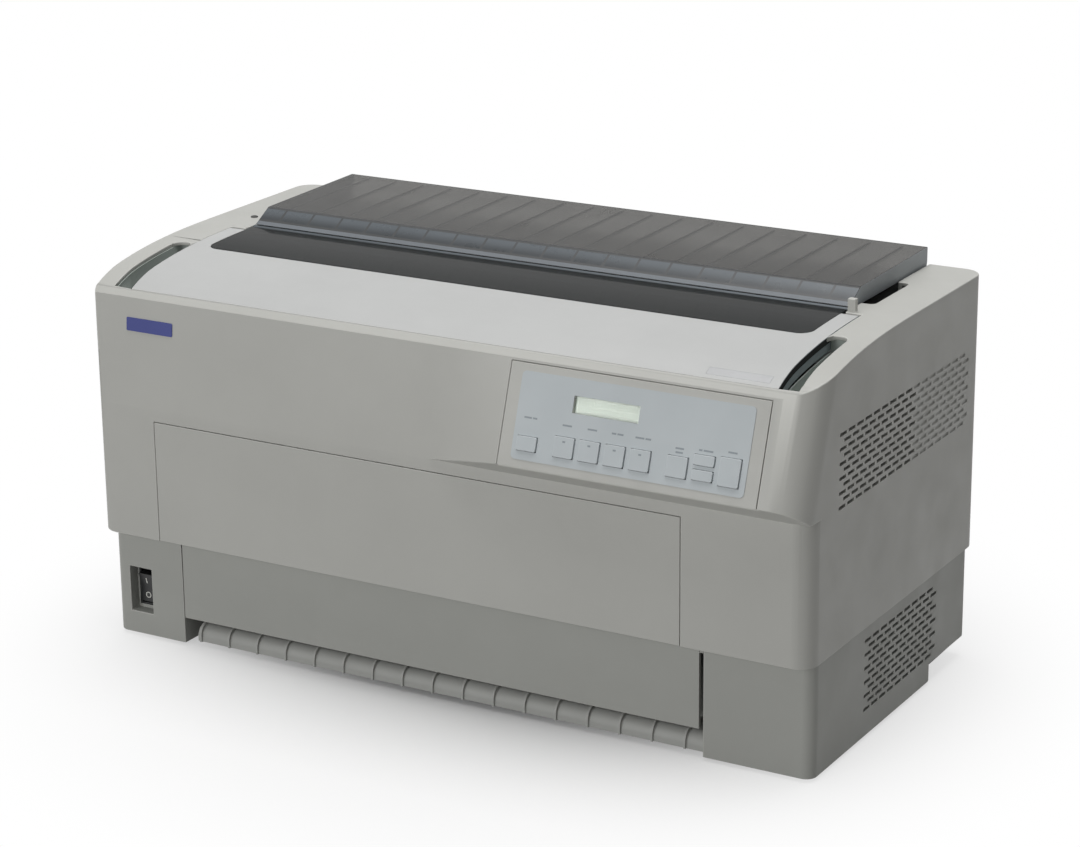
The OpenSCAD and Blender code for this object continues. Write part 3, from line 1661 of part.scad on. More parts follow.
// One tractor, drawn with the hinge of its flap on the right
module tractor() {
  half = tractor_w / 2;
  belt_half = 4.5;
  ear_t = 3;
  pins = floor((tractor_l - 14) / pin_pitch);
  difference() {
    union() {
      // housing with rounded ends
      along_x(-half, half)
        union() {
          translate([tractor_deep / 2, -tractor_deep])
            square([tractor_l - tractor_deep, tractor_deep]);
          for (s = [tractor_deep / 2, tractor_l - tractor_deep / 2])
            translate([s, -tractor_deep / 2])
              circle(r = tractor_deep / 2);
        }
      // ears of the flap hinge
      for (s = [0, tractor_l - ear_t])
        translate([half - 2, s + (s > 0 ? -6 : 6), -8])
          cube([7, ear_t, 8 + flap_hinge_w + 2]);
      // pins of the feed belt
      for (i = [0:pins])
        translate([0, 8 + i * pin_pitch, -1]) {
          cylinder(r = pin_r, h = 2.6);
          translate([0, 0, 2.6])
            cylinder(r1 = pin_r, r2 = pin_r * 0.6, h = 1);
        }
    }
    // grooves beside the feed belt
    for (x = [-belt_half - 1.2, belt_half])
      along_x(x, x + 1.2)
        translate([9, -1.5])
          square([tractor_l - 18, 3]);
    bar_x(-half - 1, half + 1, tractor_rod_s, axis_w, guide_rod_r + run_fit);
    bar_x(-half - 1, half + 1, tractor_shaft_s, axis_w, square_bore_r);
    translate([flap_hinge_x, -1, flap_hinge_w])
      rotate([-90, 0, 0])
        cylinder(r = 1.2 + run_fit, h = tractor_l + 2);
  }
}

// Flap that keeps the form on the pins, with a slot over their row
module tractor_flap() {
  half = tractor_w / 2;
  s0 = 9 + gap;
  s1 = tractor_l - 9 - gap;
  z0 = flap_hinge_w + 0.4;
  difference() {
    union() {
      translate([-half, s0, z0])
        cube([half + flap_hinge_x, s1 - s0, 1.8]);
      translate([flap_hinge_x, s0, flap_hinge_w])
        rotate([-90, 0, 0])
          cylinder(r = 2.1, h = s1 - s0);
      translate([flap_hinge_x, s0 - 3, flap_hinge_w])
        rotate([-90, 0, 0])
          cylinder(r = 1.2, h = s1 - s0 + 6);
      // stiffening edge and finger tab
      translate([-half, s0, z0])
        cube([1.6, s1 - s0, 4]);
      translate([-half - 5, (s0 + s1) / 2 - 8, z0])
        cube([6, 16, 1.8]);
    }
    translate([-pin_r - 1, s0 + 3, 0])
      cube([2 * pin_r + 2, s1 - s0 - 6, 12]);
  }
}

module left_tractor() {
  placed()
    color([0.15, 0.15, 0.16])
      on_tractor()
        translate([left_tractor_x, 0, 0])
          mirror([1, 0, 0])
            tractor();
}

module right_tractor() {
  placed()
    color([0.15, 0.15, 0.16])
      on_tractor()
        translate([right_tractor_x, 0, 0])
          tractor();
}

module left_tractor_flap() {
  placed()
    color([0.22, 0.23, 0.25])
      on_tractor()
        translate([left_tractor_x, 0, 0])
          mirror([1, 0, 0])
            tractor_flap();
}

module right_tractor_flap() {
  placed()
    color([0.22, 0.23, 0.25])
      on_tractor()
        translate([right_tractor_x, 0, 0])
          tractor_flap();
}

// Fan behind the side vent

module fan_frame() {
  ring_r = fan_side / 2 - 3;
  placed()
    color([0.1, 0.1, 0.11])
      translate([fan_x1 - fan_t, fan_y, fan_z])
        rotate([0, 90, 0])
          difference() {
            linear_extrude(height = fan_t)
              round_plan(-fan_side / 2, fan_side / 2, -fan_side / 2, fan_side / 2, 5);
            difference() {
              translate([0, 0, -1])
                cylinder(r = ring_r, h = fan_t + 2);
              // hub plate and struts on the inner side
              cylinder(r = fan_hub_r, h = 3);
              for (a = [45:90:315])
                rotate(a)
                  translate([0, -2, 0])
                    cube([fan_side / 2, 4, 3]);
            }
            translate([0, 0, -1])
              cylinder(r = 2 + run_fit, h = 8);
            for (x = [-1, 1])
              for (y = [-1, 1])
                translate([x * (fan_side / 2 - 5), y * (fan_side / 2 - 5), -1])
                  cylinder(r = 2.2, h = fan_t + 2);
          }
}

module fan_rotor() {
  blade_r = fan_side / 2 - 5;
  placed()
    color([0.14, 0.14, 0.15])
      translate([fan_x1 - fan_t, fan_y, fan_z])
        rotate([0, 90, 0]) {
          cylinder(r = 2, h = 8);
          translate([0, 0, 3 + gap])
            cylinder(r = fan_hub_r, h = fan_t - 5);
          for (i = [0:fan_blades - 1])
            rotate([0, 0, 360 / fan_blades * i])
              translate([fan_hub_r - 2, 0, fan_t / 2 + 1])
                rotate([38, 0, 0])
                  translate([0, -10, -0.8])
                    cube([blade_r - fan_hub_r + 1, 20, 1.6]);
        }
}

// Electronics

module main_board() {
  x0 = -50;
  x1 = frame_x - tray_gap;
  y0 = supply_y0;
  y1 = base_y1 - 40;
  z0 = chassis_z + chassis_t + 9;
  placed()
    color([0.12, 0.36, 0.2]) {
      box(x0, x1, y0, y1, z0, z0 + board_t);
      for (x = [x0 + 8, x1 - 8])
        for (y = [y0 + 8, y1 - 8])
          translate([x, y, chassis_z + chassis_t])
            cylinder(r = 3.5, h = 9.1);
      // large chips, capacitors and the heat sink of the driver stage
      for (chip = [[54, 14, 74], [108, 18, 57], [108, 18, 87], [161, 11, 71]])
        translate([0, y0 + chip[2], 0])
          box(x0 + chip[0] - chip[1], x0 + chip[0] + chip[1], -10, 10, z0 + 1.5, z0 + 5);
      for (i = [0:3])
        translate([x0 + 40 + i * 24, y0 + 20, z0 + 1.5])
          cylinder(r = 8, h = 22);
      box(x0 + 210, x0 + 300, y0 + 20, y0 + 24, z0 + 1.5, z0 + 34);
      for (i = [0:8])
        box(x0 + 212 + i * 10, x0 + 214 + i * 10, y0 + 23, y0 + 36, z0 + 1.5, z0 + 34);
    }
}

module power_supply() {
  x0 = -frame_x + tray_gap;
  y0 = supply_y0;
  z0 = chassis_z + chassis_t;
  placed()
    color([0.64, 0.65, 0.66])
      difference() {
        box(x0, x0 + 190, y0, base_y1 - 60, z0, z0 + 46);
        for (row = [0:2])
          for (i = [0:7])
            translate([x0 + 24 + i * 20, y0 + 26 + row * 50, 0])
              box(-4, 4, 0, 36, z0 + 44, z0 + 50);
      }
}

lower_case();
upper_case();
rubber_feet();
finger_slot_liners();
top_cover();
cover_window();
nameplate();
paper_cover();
tear_bar();
exit_guide();
front_door();
lower_front_cover();
front_paper_guide();
badge_plate();
control_panel();
control_label();
lcd_window();
lcd_module();
control_board();
panel_key(1);  // panel_key_1
panel_key(2);  // panel_key_2
panel_key(3);  // panel_key_3
panel_key(4);  // panel_key_4
panel_key(5);  // panel_key_5
panel_key(6);  // panel_key_6
panel_key(7);  // panel_key_7
panel_key(8);  // panel_key_8
panel_key(9);  // panel_key_9
power_rocker();
power_switch_body();
rear_panel();
mains_inlet();
interface_connectors();
base_chassis();
left_side_frame();
right_side_frame();
carriage_rails();
carriage();
print_head();
ribbon_cartridge();
ribbon_knob();
drive_belt();
drive_pulley();
idler_pulley();
carriage_motor();
platen_roller();
platen_gear();
feed_motor();
feed_pinion();
tractor_shaft();
tractor_gear();
tractor_guide_rod();
left_tractor();
right_tractor();
left_tractor_flap();
right_tractor_flap();
fan_frame();
fan_rotor();
main_board();
power_supply();
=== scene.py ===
# Wide dot matrix printer for continuous forms, dressed over its solid model.
# Lengths are in metres. X runs to the right, Y to the rear and Z up, from the middle of the
# printer's footprint.
from math import atan2, cos, hypot, pi, radians, sin
import bmesh
import bpy
from mathutils import Matrix, Vector


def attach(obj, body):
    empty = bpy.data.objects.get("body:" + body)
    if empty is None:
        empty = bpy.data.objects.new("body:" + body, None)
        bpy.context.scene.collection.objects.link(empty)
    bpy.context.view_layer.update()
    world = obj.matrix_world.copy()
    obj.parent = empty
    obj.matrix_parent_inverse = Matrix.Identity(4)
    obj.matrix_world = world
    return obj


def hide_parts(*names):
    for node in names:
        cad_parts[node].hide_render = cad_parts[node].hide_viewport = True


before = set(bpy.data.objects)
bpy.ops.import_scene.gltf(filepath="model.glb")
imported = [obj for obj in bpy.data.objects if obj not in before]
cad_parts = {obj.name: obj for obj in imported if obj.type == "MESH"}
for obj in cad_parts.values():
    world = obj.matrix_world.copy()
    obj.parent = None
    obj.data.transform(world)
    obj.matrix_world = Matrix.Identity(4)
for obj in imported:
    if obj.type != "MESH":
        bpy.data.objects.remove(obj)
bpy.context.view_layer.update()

# Camera
# The printer is seen from its front right corner and a little from above, through a long
# lens, so its edges hardly converge.
azimuth, elevation, roll = radians(30.239666), radians(17.862001), radians(-0.608539)
camera_place = Matrix.Translation((1.2914386, -2.1919312, 1.0298866))
looking = Vector((-sin(azimuth) * cos(elevation), cos(azimuth) * cos(elevation), -sin(elevation)))
level = looking.cross(Vector((0, 0, 1))).normalized()
upward = level.cross(looking)
right_hand = level * cos(roll) + upward * sin(roll)
overhead = upward * cos(roll) - level * sin(roll)
camera = bpy.data.objects.new("camera", bpy.data.cameras.new("camera"))
camera.data.sensor_width = 36
camera.data.sensor_fit = "HORIZONTAL"
camera.data.lens = 101.94
camera.data.clip_end = 50
camera.matrix_world = camera_place @ Matrix((right_hand, overhead, -looking)).transposed().to_4x4()
bpy.context.scene.collection.objects.link(camera)
bpy.context.scene.camera = camera
bpy.context.scene.view_settings.view_transform = "Standard"

# Table and soft lamps
# The printer stands on a plain white table in an even room. One broad lamp hangs straight over
# it, so the level faces are brightest. A second stands low in front, so the right side is in shade.
def looked_at(tree, *rays):
    """1 where one of these kinds of ray looks, and 0 elsewhere"""
    path = tree.nodes.new("ShaderNodeLightPath")
    looks = path.outputs[rays[0]]
    for ray in rays[1:]:
        either = tree.nodes.new("ShaderNodeMath")
        either.operation = "MAXIMUM"
        tree.links.new(looks, either.inputs[0])
        tree.links.new(path.outputs[ray], either.inputs[1])
        looks = either.outputs[0]
    return looks


def mix_of(tree, share, first, second):
    """Mixes two shaders, where share 0 is the first alone and share 1 the second"""
    mix = tree.nodes.new("ShaderNodeMixShader")
    for number, source in enumerate((share, first, second)):
        tree.links.new(source, mix.inputs[number])
    return mix.outputs[0]


def shader_of(tree, kind, colour, strength=None):
    """A plain shader of one colour"""
    made = tree.nodes.new(kind)
    made.inputs["Color"].default_value = (*colour, 1)
    if strength is not None:
        made.inputs["Strength"].default_value = strength
    return made.outputs[0]


room = bpy.data.worlds.new("room")
bpy.context.scene.world = room
room.use_nodes = True
tree = room.node_tree
tree.nodes.remove(tree.nodes["Background"])
glow = shader_of(tree, "ShaderNodeBackground", (1, 1, 1), 0.165)
white = shader_of(tree, "ShaderNodeBackground", (1, 1, 1), 1.0)
seen = looked_at(tree, "Is Camera Ray", "Is Glossy Ray", "Is Transmission Ray")
tree.links.new(mix_of(tree, seen, glow, white), tree.nodes["World Output"].inputs["Surface"])

table_front, table_rear, table_side = -30, 60, 30
table_mesh = bpy.data.meshes.new("table")
table_mesh.from_pydata(
    [(-table_side, table_front, 0), (table_side, table_front, 0), (table_side, table_rear, 0),
     (-table_side, table_rear, 0)], [], [(0, 1, 2, 3)])
table = bpy.data.objects.new("table", table_mesh)
bpy.context.scene.collection.objects.link(table)
table_white = bpy.data.materials.new("table_white")
table_white.use_nodes = True
tree = table_white.node_tree
tree.nodes.clear()
table_out = tree.nodes.new("ShaderNodeOutputMaterial")
dull = shader_of(tree, "ShaderNodeBsdfDiffuse", (0.36, 0.36, 0.355))
pale = shader_of(tree, "ShaderNodeBsdfDiffuse", (0.97, 0.97, 0.97))
backdrop = shader_of(tree, "ShaderNodeEmission", (1, 1, 1))
# the table keeps the printer's shadow and turns plain white a little further out
spot = tree.nodes.new("ShaderNodeTexCoord")
reach = tree.nodes.new("ShaderNodeVectorMath")
reach.operation = "LENGTH"
tree.links.new(spot.outputs["Object"], reach.inputs[0])
fade = tree.nodes.new("ShaderNodeMapRange")
fade.interpolation_type = "SMOOTHSTEP"
fade.inputs["From Min"].default_value = 0.08
fade.inputs["From Max"].default_value = 0.54
tree.links.new(reach.outputs["Value"], fade.inputs["Value"])
near_far = mix_of(tree, fade.outputs[0], pale, backdrop)
seen = looked_at(tree, "Is Camera Ray", "Is Glossy Ray")
tree.links.new(mix_of(tree, seen, dull, near_far), table_out.inputs["Surface"])
table_mesh.materials.append(table_white)

middle_of_printer = Vector((0, 0, 0.2))
for name, place, size, power in (
    ("lamp_overhead", (0, 0.1, 3.0), 2.2, 61),
    ("lamp_front", (-0.8, -3.2, 0.9), 1.8, 38),
):
    lamp = bpy.data.objects.new(name, bpy.data.lights.new(name, "AREA"))
    lamp.data.size = size
    lamp.data.energy = power
    lamp.location = place
    lamp.rotation_euler = (middle_of_printer - Vector(place)).to_track_quat("-Z", "Y").to_euler()
    bpy.context.scene.collection.objects.link(lamp)

# Lower case
# The tray that everything stands in is one injection moulding in light grey plastic with a
# spark-textured skin. It carries the switch pocket, the side vent and the posts of the chassis.
def seen_as(red, green, blue):
    """A colour named as the eye reads it, 0 to 255, in the lamp's own scale"""
    parts = [value / 255 for value in (red, green, blue)]
    return tuple(v / 12.92 if v < 0.04045 else ((v + 0.055) / 1.055) ** 2.4 for v in parts)


def finish_of(name, colour, roughness=0.5, spread=0.08, mottle=0.03, grain=0.00004,
              grain_size=0.0007, worn=None, metal=0.0, gloss=0.5, stretch=(1, 1, 1)):
    """Base colour that drifts a little, uneven gloss, a fine grain and rubbed edges"""
    finish = bpy.data.materials.new(name)
    finish.use_nodes = True
    tree = finish.node_tree
    nodes, links = tree.nodes, tree.links
    shader = nodes["Principled BSDF"]
    shader.inputs["Metallic"].default_value = metal
    shader.inputs["Specular IOR Level"].default_value = gloss
    place = nodes.new("ShaderNodeTexCoord").outputs["Object"]
    # slow drift of tone over the whole moulding, with a finer cloud over it
    drift = nodes.new("ShaderNodeTexNoise")
    drift.inputs["Scale"].default_value = 7
    drift.inputs["Detail"].default_value = 5
    drift.inputs["Roughness"].default_value = 0.62
    links.new(place, drift.inputs["Vector"])
    tone = nodes.new("ShaderNodeValToRGB")
    tone.color_ramp.elements[0].position = 0.32
    tone.color_ramp.elements[0].color = (*(c * (1 - mottle) for c in colour), 1)
    tone.color_ramp.elements[1].position = 0.68
    tone.color_ramp.elements[1].color = (*(min(c * (1 + mottle), 1) for c in colour), 1)
    links.new(drift.outputs["Fac"], tone.inputs["Fac"])
    # grain of the mould, drawn out one way on brushed and ground metal
    run = nodes.new("ShaderNodeMapping")
    run.inputs["Scale"].default_value = stretch
    links.new(place, run.inputs["Vector"])
    speck = nodes.new("ShaderNodeTexNoise")
    speck.inputs["Scale"].default_value = 1 / grain_size
    speck.inputs["Detail"].default_value = 2
    links.new(run.outputs[0], speck.inputs["Vector"])
    bump = nodes.new("ShaderNodeBump")
    bump.inputs["Distance"].default_value = grain
    bump.inputs["Strength"].default_value = 0.6
    links.new(speck.outputs["Fac"], bump.inputs["Height"])
    links.new(bump.outputs[0], shader.inputs["Normal"])
    # handled and dusty places are a little glossier or duller
    smear = nodes.new("ShaderNodeTexNoise")
    smear.inputs["Scale"].default_value = 23
    smear.inputs["Detail"].default_value = 6
    smear.inputs["Roughness"].default_value = 0.7
    links.new(place, smear.inputs["Vector"])
    rough = nodes.new("ShaderNodeMapRange")
    rough.inputs["From Min"].default_value = 0.3
    rough.inputs["From Max"].default_value = 0.7
    rough.inputs["To Min"].default_value = max(roughness - spread, 0.02)
    rough.inputs["To Max"].default_value = min(roughness + spread, 1)
    links.new(smear.outputs["Fac"], rough.inputs["Value"])
    links.new(rough.outputs[0], shader.inputs["Roughness"])
    if worn is None:
        links.new(tone.outputs["Color"], shader.inputs["Base Color"])
        return finish
    # edges that hands and covers have rubbed, broken up by the same smear
    edge = nodes.new("ShaderNodeAttribute")
    edge.attribute_name = "rubbed"
    patchy = nodes.new("ShaderNodeMath")
    patchy.operation = "MULTIPLY"
    links.new(edge.outputs["Fac"], patchy.inputs[0])
    links.new(smear.outputs["Fac"], patchy.inputs[1])
    rub = nodes.new("ShaderNodeMix")
    rub.data_type = "RGBA"
    rub.inputs["B"].default_value = (*worn, 1)
    links.new(patchy.outputs[0], rub.inputs["Factor"])
    links.new(tone.outputs["Color"], rub.inputs["A"])
    links.new(rub.outputs["Result"], shader.inputs["Base Color"])
    return finish


def whole_faces(node, pierced=lambda place: False):
    """The node's solid as a mesh to work on, with its triangles joined into whole faces, but not
    where it is pierced by many slots"""
    work = bmesh.new()
    work.from_mesh(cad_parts[node].data)
    bmesh.ops.remove_doubles(work, verts=work.verts, dist=2e-6)
    plain = [edge for edge in work.edges if not any(pierced(corner.co) for corner in edge.verts)]
    bmesh.ops.dissolve_limit(
        work, angle_limit=radians(0.3), verts=work.verts, edges=plain, delimit=set()
    )
    return work


def soften(work, width, steps=2, least=35, chosen=lambda edge: True):
    """Rounds the sharp edges that have room for it, and marks the rounds as rubbed"""
    rubbed = work.faces.layers.float.get("rubbed") or work.faces.layers.float.new("rubbed")
    sharp = {
        edge for edge in work.edges
        if len(edge.link_faces) == 2
        and edge.calc_face_angle(0) > radians(least)
        and edge.calc_length() > 1e-6
        and chosen(edge)
    }
    room = 2.3 * width
    for edge in list(sharp):
        length = edge.calc_length()
        if any(face.calc_area() / length < room and len(face.verts) < 9 for face in edge.link_faces):
            sharp.discard(edge)
    for corner in work.verts:
        mine = [edge for edge in corner.link_edges if edge in sharp]
        others = [edge for edge in corner.link_edges if edge not in sharp]
        short = any(edge.calc_length() < room for edge in others)
        for edge in mine:
            along = edge.other_vert(corner).co - corner.co
            turns = [
                along.angle(other.other_vert(corner).co - corner.co, 0) for other in mine if other is not edge
            ]
            if short or (edge.calc_length() < room and any(turn < radians(140) for turn in turns)):
                sharp.discard(edge)
    if sharp:
        made = bmesh.ops.bevel(
            work, geom=list(sharp), offset=width, offset_type="OFFSET", segments=steps,
            profile=0.5, affect="EDGES", clamp_overlap=False, loop_slide=True, miter_outer="SHARP"
        )
        for face in made["faces"]:
            face[rubbed] = 1


def rounded(node, width, steps=2):
    """The node's whole faces with all its sharp edges rounded"""
    work = whole_faces(node)
    soften(work, width, steps)
    return work


def piece(work, name, body, node, finish):
    """Makes the worked mesh a piece of that body, in that node's stead"""
    mesh = bpy.data.meshes.new(name)
    bmesh.ops.recalc_face_normals(work, faces=work.faces)
    work.to_mesh(mesh)
    work.free()
    mesh.shade_smooth()
    mesh.set_sharp_from_angle(angle=radians(32))
    mesh.materials.append(finish)
    made = bpy.data.objects.new(name, mesh)
    bpy.context.scene.collection.objects.link(made)
    even = made.modifiers.new("even_shading", "WEIGHTED_NORMAL")
    even.keep_sharp = True
    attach(made, body)
    if node:
        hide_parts(node)
    return made


def between(place, low, high):
    """Whether a place lies in the box between two corners"""
    return all(least < at < most for least, at, most in zip(low, place, high))


def in_lower_vent(place):
    """The field of slots in the right side of the tray"""
    return between(place, (0.34, -0.049, 0.025), (0.36, 0.112, 0.0925))


base_grey = finish_of("base_grey", seen_as(168, 169, 164), 0.52, worn=seen_as(200, 200, 195))
work = whole_faces("lower_case", in_lower_vent)
soften(work, 0.0008, 3, chosen=lambda edge: not any(in_lower_vent(corner.co) for corner in edge.verts))
piece(work, "lower_case_moulding", "case", "lower_case", base_grey)

# Rubber feet
# Four black rubber feet are set into the floor of the tray. Their soft skin picks up dust.
foot_rubber = finish_of("foot_rubber", seen_as(44, 44, 44), 0.75, grain=0.0001, mottle=0.2)
piece(rounded("rubber_feet", 0.0004), "rubber_foot_set", "case", "rubber_feet", foot_rubber)

# Upper case
# The upper shell drops over the tray. It is moulded in the same plastic: upright front, arched
# top, slotted side and the swollen corner that carries the control panel.
def in_upper_vent(place):
    """The field of open and blind slots in the right side of the upper shell"""
    return between(place, (0.345, -0.112, 0.222), (0.36, 0.152, 0.2875))


def cut_faces(work, wanted, point, way):
    """Cuts the faces that pass the test wanted along a plane"""
    faces = [face for face in work.faces if wanted(face)]
    rims = {edge for face in faces for edge in face.edges}
    corners = {corner for face in faces for corner in face.verts}
    bmesh.ops.bisect_plane(work, geom=[*corners, *rims, *faces], dist=1e-7, plane_co=point, plane_no=way)


top_z = 0.349
crown_y, crown_run, crown_drop, crown_power = 0.039, 0.187, 0.018, 2.86
brow_y, brow_z, brow_top_y = -0.153, 0.322, -0.148
brow_fall, fall_run, fall_step = 0.005, 0.035, 0.0044
round_x, round_y, round_r = 0.332, -0.143, 0.018
joint_z, ledge_z = 0.103, 0.225


def arch(y):
    """Height of the arched top of the plain solid"""
    return top_z - crown_drop * (max(crown_y - y, 0) / crown_run) ** crown_power


def fall(y):
    """How much lower the moulded top is than that, towards the brow"""
    if y < brow_top_y:
        return brow_fall * (y - brow_y) / (brow_top_y - brow_y)
    return brow_fall * (max(brow_top_y + fall_run - y, 0) / fall_run) ** 2


def fall_to_the_brow(work):
    """Lets the arched top fall further over its last 35 mm, so the brow is low and flat"""
    def on_top(face):
        middle = face.calc_center_median()
        return middle.z > brow_z + 0.0002 and middle.y < -0.09

    for step in range(9):
        cut_faces(work, on_top, (0, brow_top_y + fall_step * step, 0), (0, 1, 0))
    for corner in work.verts:
        if corner.co.z > brow_z + 0.0001 and corner.co.y > brow_y:
            corner.co.z -= fall(corner.co.y)


def at_the_brow_foot(edge):
    """The edge between the leaning front and the brow"""
    return all(
        abs(corner.co.z - brow_z) < 0.0003 and abs(corner.co.y - brow_y) < 0.0003 for corner in edge.verts)


def even_corner(work):
    """Gives the rounded front right corner upright facets that run from its foot to the ledge"""
    def on_the_round(face):
        return all(
            x > round_x - 0.0001 and y < round_y + 0.0001
            and abs(hypot(x - round_x, y - round_y) - round_r) < 0.0002
            and joint_z - 0.0001 < z < ledge_z + 0.0001 for x, y, z in (corner.co for corner in face.verts))

    turns = {
        round(atan2(corner.co.y - round_y, corner.co.x - round_x), 3)
        for face in work.faces if on_the_round(face) for corner in face.verts}
    for turn in turns:
        cut_faces(work, on_the_round, (round_x, round_y, 0), (-sin(turn), cos(turn), 0))
    for corner in {corner for face in work.faces if on_the_round(face) for corner in face.verts}:
        x, y = corner.co.x - round_x, corner.co.y - round_y
        stretch = round_r / hypot(x, y)
        corner.co.x, corner.co.y = round_x + x * stretch, round_y + y * stretch


case_grey = finish_of("case_grey", seen_as(186, 186, 181), 0.5, worn=seen_as(208, 208, 203))
work = whole_faces("upper_case", in_upper_vent)
even_corner(work)
fall_to_the_brow(work)
soften(work, 0.0012, 3, least=20, chosen=at_the_brow_foot)
soften(work, 0.0009, 3, chosen=lambda edge: not any(in_upper_vent(corner.co) for corner in edge.verts))
piece(work, "upper_case_moulding", "case", "upper_case", case_grey)
# a web closes the shell where the ledge of the control corner meets the round of the front
work = bmesh.new()
web_r, web_low, web_high = round_r - 0.00004, 0.2213, 0.2252
turns = [radians(-35 - 2 * step) for step in range(11)]
outer = [(round_x + web_r * cos(turn), round_y + web_r * sin(turn)) for turn in turns]
inner = [(round_x + (x - round_x) * 0.8, round_y + (y - round_y) * 0.8) for x, y in reversed(outer)]
under_the_ledge = outer[:1] + [(0.3467, -0.1577)] + outer[-1:] + inner
for outline, low, high in (
    (outer + inner, web_low, web_high),
    (under_the_ledge, web_high - 0.0001, 0.2262),
):
    foot, head = ([work.verts.new((x, y, z)) for x, y in outline] for z in (low, high))
    work.faces.new(foot)
    work.faces.new(head)
    for i in range(len(outline)):
        work.faces.new((foot[i - 1], foot[i], head[i], head[i - 1]))
piece(work, "corner_web", "case", None, case_grey)

# Finger slot trays
# Trays hang under the two slots beside the top cover, so that fingers can reach its edge
# without touching the works. They are moulded in a darker grey than the case.
slot_grey = finish_of("slot_grey", seen_as(165, 172, 167), 0.6)
work = whole_faces("finger_slot_liners")
fall_to_the_brow(work)
piece(work, "finger_slot_trays", "case", "finger_slot_liners", slot_grey)


slot_front, slot_step = -0.145, 0.0047


def bar_along(work, side, height, section):
    """Lays a bar beside a finger slot. Its section is given as x and depth below the height"""
    rows = [
        [work.verts.new((side * x, y, height(y) - deep)) for x, deep in section]
        for y in (slot_front + slot_step * step for step in range(21))
    ]
    for near, far in zip(rows, rows[1:]):
        for i in range(len(section)):
            work.faces.new((near[i - 1], near[i], far[i], far[i - 1]))
    work.faces.new(rows[0])
    work.faces.new(rows[-1])


# a low wall shuts the inner side of each tray under the skirt of the cover
near, far, skirt_depth, tray_depth = 0.3131, 0.3141, 0.0142, 0.024
work = bmesh.new()
for side in (-1, 1):
    bar_along(work, side, arch, (
        (near, skirt_depth), (far, skirt_depth), (far, tray_depth), (near, tray_depth)))
piece(work, "tray_inner_walls", "case", None, slot_grey)

# Lid stop
# A small rubber button is pressed into the top of the shell, behind the left finger slot.
stop_rubber = finish_of("stop_rubber", seen_as(70, 70, 68), 0.75, mottle=0.15)
work = bmesh.new()
profile = ((0.0034, -0.0006), (0.0034, 0.0004), (0.0031, 0.0009), (0.0022, 0.0012), (0.001, 0.0013))
rings = [
    [work.verts.new((r * cos(pi * i / 12), r * sin(pi * i / 12), z)) for i in range(24)]
    for r, z in profile
]
for low, high in zip(rings, rings[1:]):
    for i in range(24):
        work.faces.new((low[i], low[(i + 1) % 24], high[(i + 1) % 24], high[i]))
work.faces.new(rings[-1])
work.faces.new(rings[0])
work.transform(Matrix.Translation((-0.3155, 0.046, top_z)))
piece(work, "lid_stop_button", "case", None, stop_rubber)

# Front door
# The front door swings down on two pins in its lower corners. It is a flat moulding in the
# colour of the case, stiffened by a frame and ribs on its inner side.
piece(rounded("front_door", 0.0006), "front_door_moulding", "front_door", "front_door", case_grey)

# Lower front cover
# A second flap closes the way in for the form. It hangs from two small pins under the joint of
# the case and is moulded like the tray.
piece(rounded("lower_front_cover", 0.0006), "lower_front_flap", "lower_front_cover",
      "lower_front_cover", base_grey)

# Paper guide
# The ribbed guide under the lower cover leads the form in and up to the tractors. Its rounded
# nose shows below the cover as a scalloped strip.
guide_grey = finish_of("guide_grey", seen_as(176, 177, 173), 0.55, worn=seen_as(205, 205, 200))
piece(rounded("front_paper_guide", 0.0004), "front_paper_chute", "case", "front_paper_guide", guide_grey)

# Top cover
# The arched cover over the print mechanism is lifted by the finger slots and turns on two
# bosses at its rear corners. It is moulded a shade lighter than the case.
cover_grey = finish_of("cover_grey", seen_as(190, 191, 190), 0.5, worn=seen_as(212, 212, 209))
work = whole_faces("top_cover")
cover_front = -0.146
front_rim = [edge for edge in work.edges if all(
    abs(corner.co.y - cover_front) < 0.0002 and corner.co.z > 0.328 for corner in edge.verts)]
soften(work, 0.0009, 3, chosen=lambda edge: edge in front_rim)
fall_to_the_brow(work)
soften(work, 0.0006, 2)
top_cover = piece(work, "top_cover_moulding", "top_cover", "top_cover", cover_grey)


# Painted shade on the sides of the cover
# A black strip along each side edge of the cover is painted shade, where the edge is in shadow.
# The skirt below it is painted a darker grey, also as painted shade.
def finish_where(made, finish, test):
    """Gives a second finish to the faces whose middle passes the test"""
    made.data.materials.append(finish)
    number = len(made.data.materials) - 1
    for face in made.data.polygons:
        if test(face.center):
            face.material_index = number


skirt_painted_shade = finish_of("skirt_painted_shade", seen_as(142, 152, 156), 0.6)
cover_side = 0.3125
# painted shade: the skirt of the cover is painted a darker grey
finish_where(top_cover, skirt_painted_shade, lambda c: abs(c.x) > cover_side - 0.0001)
painted_shade_black = finish_of("painted_shade_black", seen_as(52, 53, 53), 0.95, grain=0.0001, grain_size=0.0005, gloss=0.1)
# painted shade: a thin black strip lies along the top of each side of the cover
shade_strip_face, shade_strip_top, shade_strip_foot = cover_side + 0.0002, 0.0008, 0.0058
work = bmesh.new()
for side in (-1, 1):
    bar_along(work, side, lambda y: arch(y) - fall(y), (
        (cover_side, shade_strip_top), (shade_strip_face, shade_strip_top), (shade_strip_face, shade_strip_foot), (cover_side, shade_strip_foot)))
piece(work, "painted_shade_side_strips", "top_cover", None, painted_shade_black)


# Window
# The pane in the top cover is smoke acrylic with a polished face, cemented into its rebate.
def clear_finish(name, tint, roughness, gloss, through, mirror=1.3):
    """Tinted clear plastic with faint wipe marks. The higher mirror is, the more it reflects"""
    finish = finish_of(name, tint, roughness, spread=roughness * 0.25, mottle=0.015, grain=0.000002,
                       grain_size=0.004, gloss=gloss)
    shader = finish.node_tree.nodes["Principled BSDF"]
    shader.inputs["Transmission Weight"].default_value = through
    shader.inputs["IOR"].default_value = mirror
    return finish


